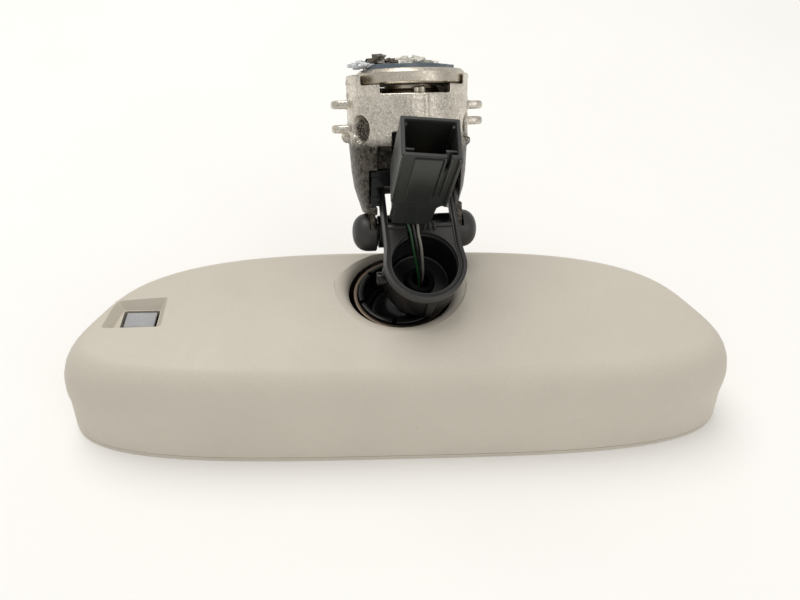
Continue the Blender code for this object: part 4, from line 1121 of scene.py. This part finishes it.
def wire_piece(name, route, body, slot, node):
    curve = bpy.data.curves.new(name, "CURVE")
    curve.dimensions = "3D"
    curve.bevel_depth = WIRE_RADIUS * MM
    curve.bevel_resolution = 5
    curve.use_fill_caps = True
    spline = curve.splines.new("POLY")
    places = smooth_route(route, 72)
    spline.points.add(len(places) - 1)
    for point, place in zip(spline.points, places):
        point.co = (*place, 1)
    obj = new_object(name, curve)
    finished(obj, body, slot, [node])


def build_wires():
    """Three wires from the connector down the tube and through the ball, and on to the board."""
    def at(place, x, y, z):
        return place @ (Vector((x, y, z)) * MM)

    x, y = HOLE_CENTRE
    for name, pin, spread in WIRES:
        route = [at(CONNECTOR, pin, 0, height) for height in (SOCKET_FLOOR - 5.4, 8, 1)]
        route += [at(TUBE, spread - 2.55, 12.6, 28.0), at(TUBE, spread - 1.2, 7.0, 22.5)]
        route += [at(STUD, spread, 0, height) for height in (24, 16, 5, ARM_WIRE_END)]
        wire_piece(f"arm_lead_{name}", route, "arm", f"{name}_wire", f"arm_wire_{name}")
        beside = spread * HEAD_WIRE_SPREAD
        low = SOCKET_FOOT[1] + 2.6
        end = (2 + beside, BOARD_TOP + 3.5)
        route = [at(STUD, 0, beside, -depth) for depth in (HEAD_WIRE_START, 10)]
        places = ((x - 4, y + beside, low + 1), (x - 9, y + beside, low), (x - 18, y + beside, low + 0.2),
                  (x - 25, 6.5 + beside, low + 2.5), (-30.5, *end), (-40.5, *end))
        route += [at(HEAD, *place) for place in places]
        wire_piece(f"head_lead_{name}", route, "mirror_head", f"{name}_wire", f"head_wire_{name}")


# ---------------------------------------------------------------- carried-over CAD parts

def dress_cad_nodes():
    """Give each CAD part that still shows the material of its slot."""
    slots = {part["node"]: part["material_slot"] for part in frame["record"]["subparts"]}
    for name, obj in frame["nodes"].items():
        obj.data.materials.clear()
        obj.data.materials.append(MATERIALS[slots[name]])


# ---------------------------------------------------------------- stage

def area_light(name, place, target, size, energy, colour):
    light = bpy.data.lights.new(name, "AREA")
    light.shape = "DISK"
    light.size = size
    light.energy = energy
    light.color = colour
    obj = new_object(name, light)
    obj.location = place
    obj.rotation_mode = "QUATERNION"
    obj.rotation_quaternion = (Vector(target) - Vector(place)).to_track_quat("-Z", "Y")


def build_stage():
    bpy.ops.mesh.primitive_plane_add(size=FLOOR_SIZE, location=(0, 0, 0))
    floor = bpy.context.object
    floor.name = "floor"
    paper = Surface("floor_paper", Specular_IOR_Level=0.2)
    base = paper.mottle((120, 3), [(0.3, shade(FLOOR_COLOUR, 0.985)), (0.7, FLOOR_COLOUR)])
    gloss = paper.mottle((60, 2), [(0.3, 0.7), (0.7, 0.8)])
    floor.data.materials.append(paper.done(base, gloss))
    world = bpy.data.worlds.new("studio")
    world.use_nodes = True
    sky = world.node_tree.nodes["Background"].inputs
    sky["Color"].default_value = SKY_COLOUR
    sky["Strength"].default_value = SKY_STRENGTH
    bpy.context.scene.world = world
    bpy.context.scene.view_settings.view_transform = "Standard"
    area_light("key", (-0.25, 0.35, 1.2), (0, 0, 0), 0.9, 7.2, (1.0, 0.98, 0.95))
    area_light("fill", (0.7, -0.9, 0.9), (0, 0, 0.03), 1.1, 2.8, (1.0, 0.97, 0.93))


def build_camera():
    rotate = turn(-CAMERA_YAW, "Z").to_3x3()
    pitch, roll = math.radians(CAMERA_PITCH), math.radians(CAMERA_ROLL)
    forward = rotate @ Vector((0, math.cos(pitch), -math.sin(pitch)))
    right = rotate @ Vector((1, 0, 0))
    right = math.cos(roll) * right + math.sin(roll) * right.cross(forward)
    data = bpy.data.cameras.new("camera")
    data.sensor_width = CAMERA_SENSOR
    data.lens = CAMERA_LENS
    data.clip_start = 0.01
    camera = new_object("camera", data)
    place = Matrix((right, right.cross(forward), -forward)).transposed().to_4x4()
    place.translation = HEAD.translation + rotate @ (Vector(CAMERA_PLACE) * MM)
    camera.matrix_world = place
    bpy.context.scene.camera = camera


build_stage()
build_camera()
dress_cad_nodes()
build_housing()
build_bezel_and_glass()
build_socket()
build_pivot()
build_arm()
build_shroud()
build_connector()
build_caps()
build_foot()
build_button()
build_glass_remnant()
build_fittings()
build_wires()
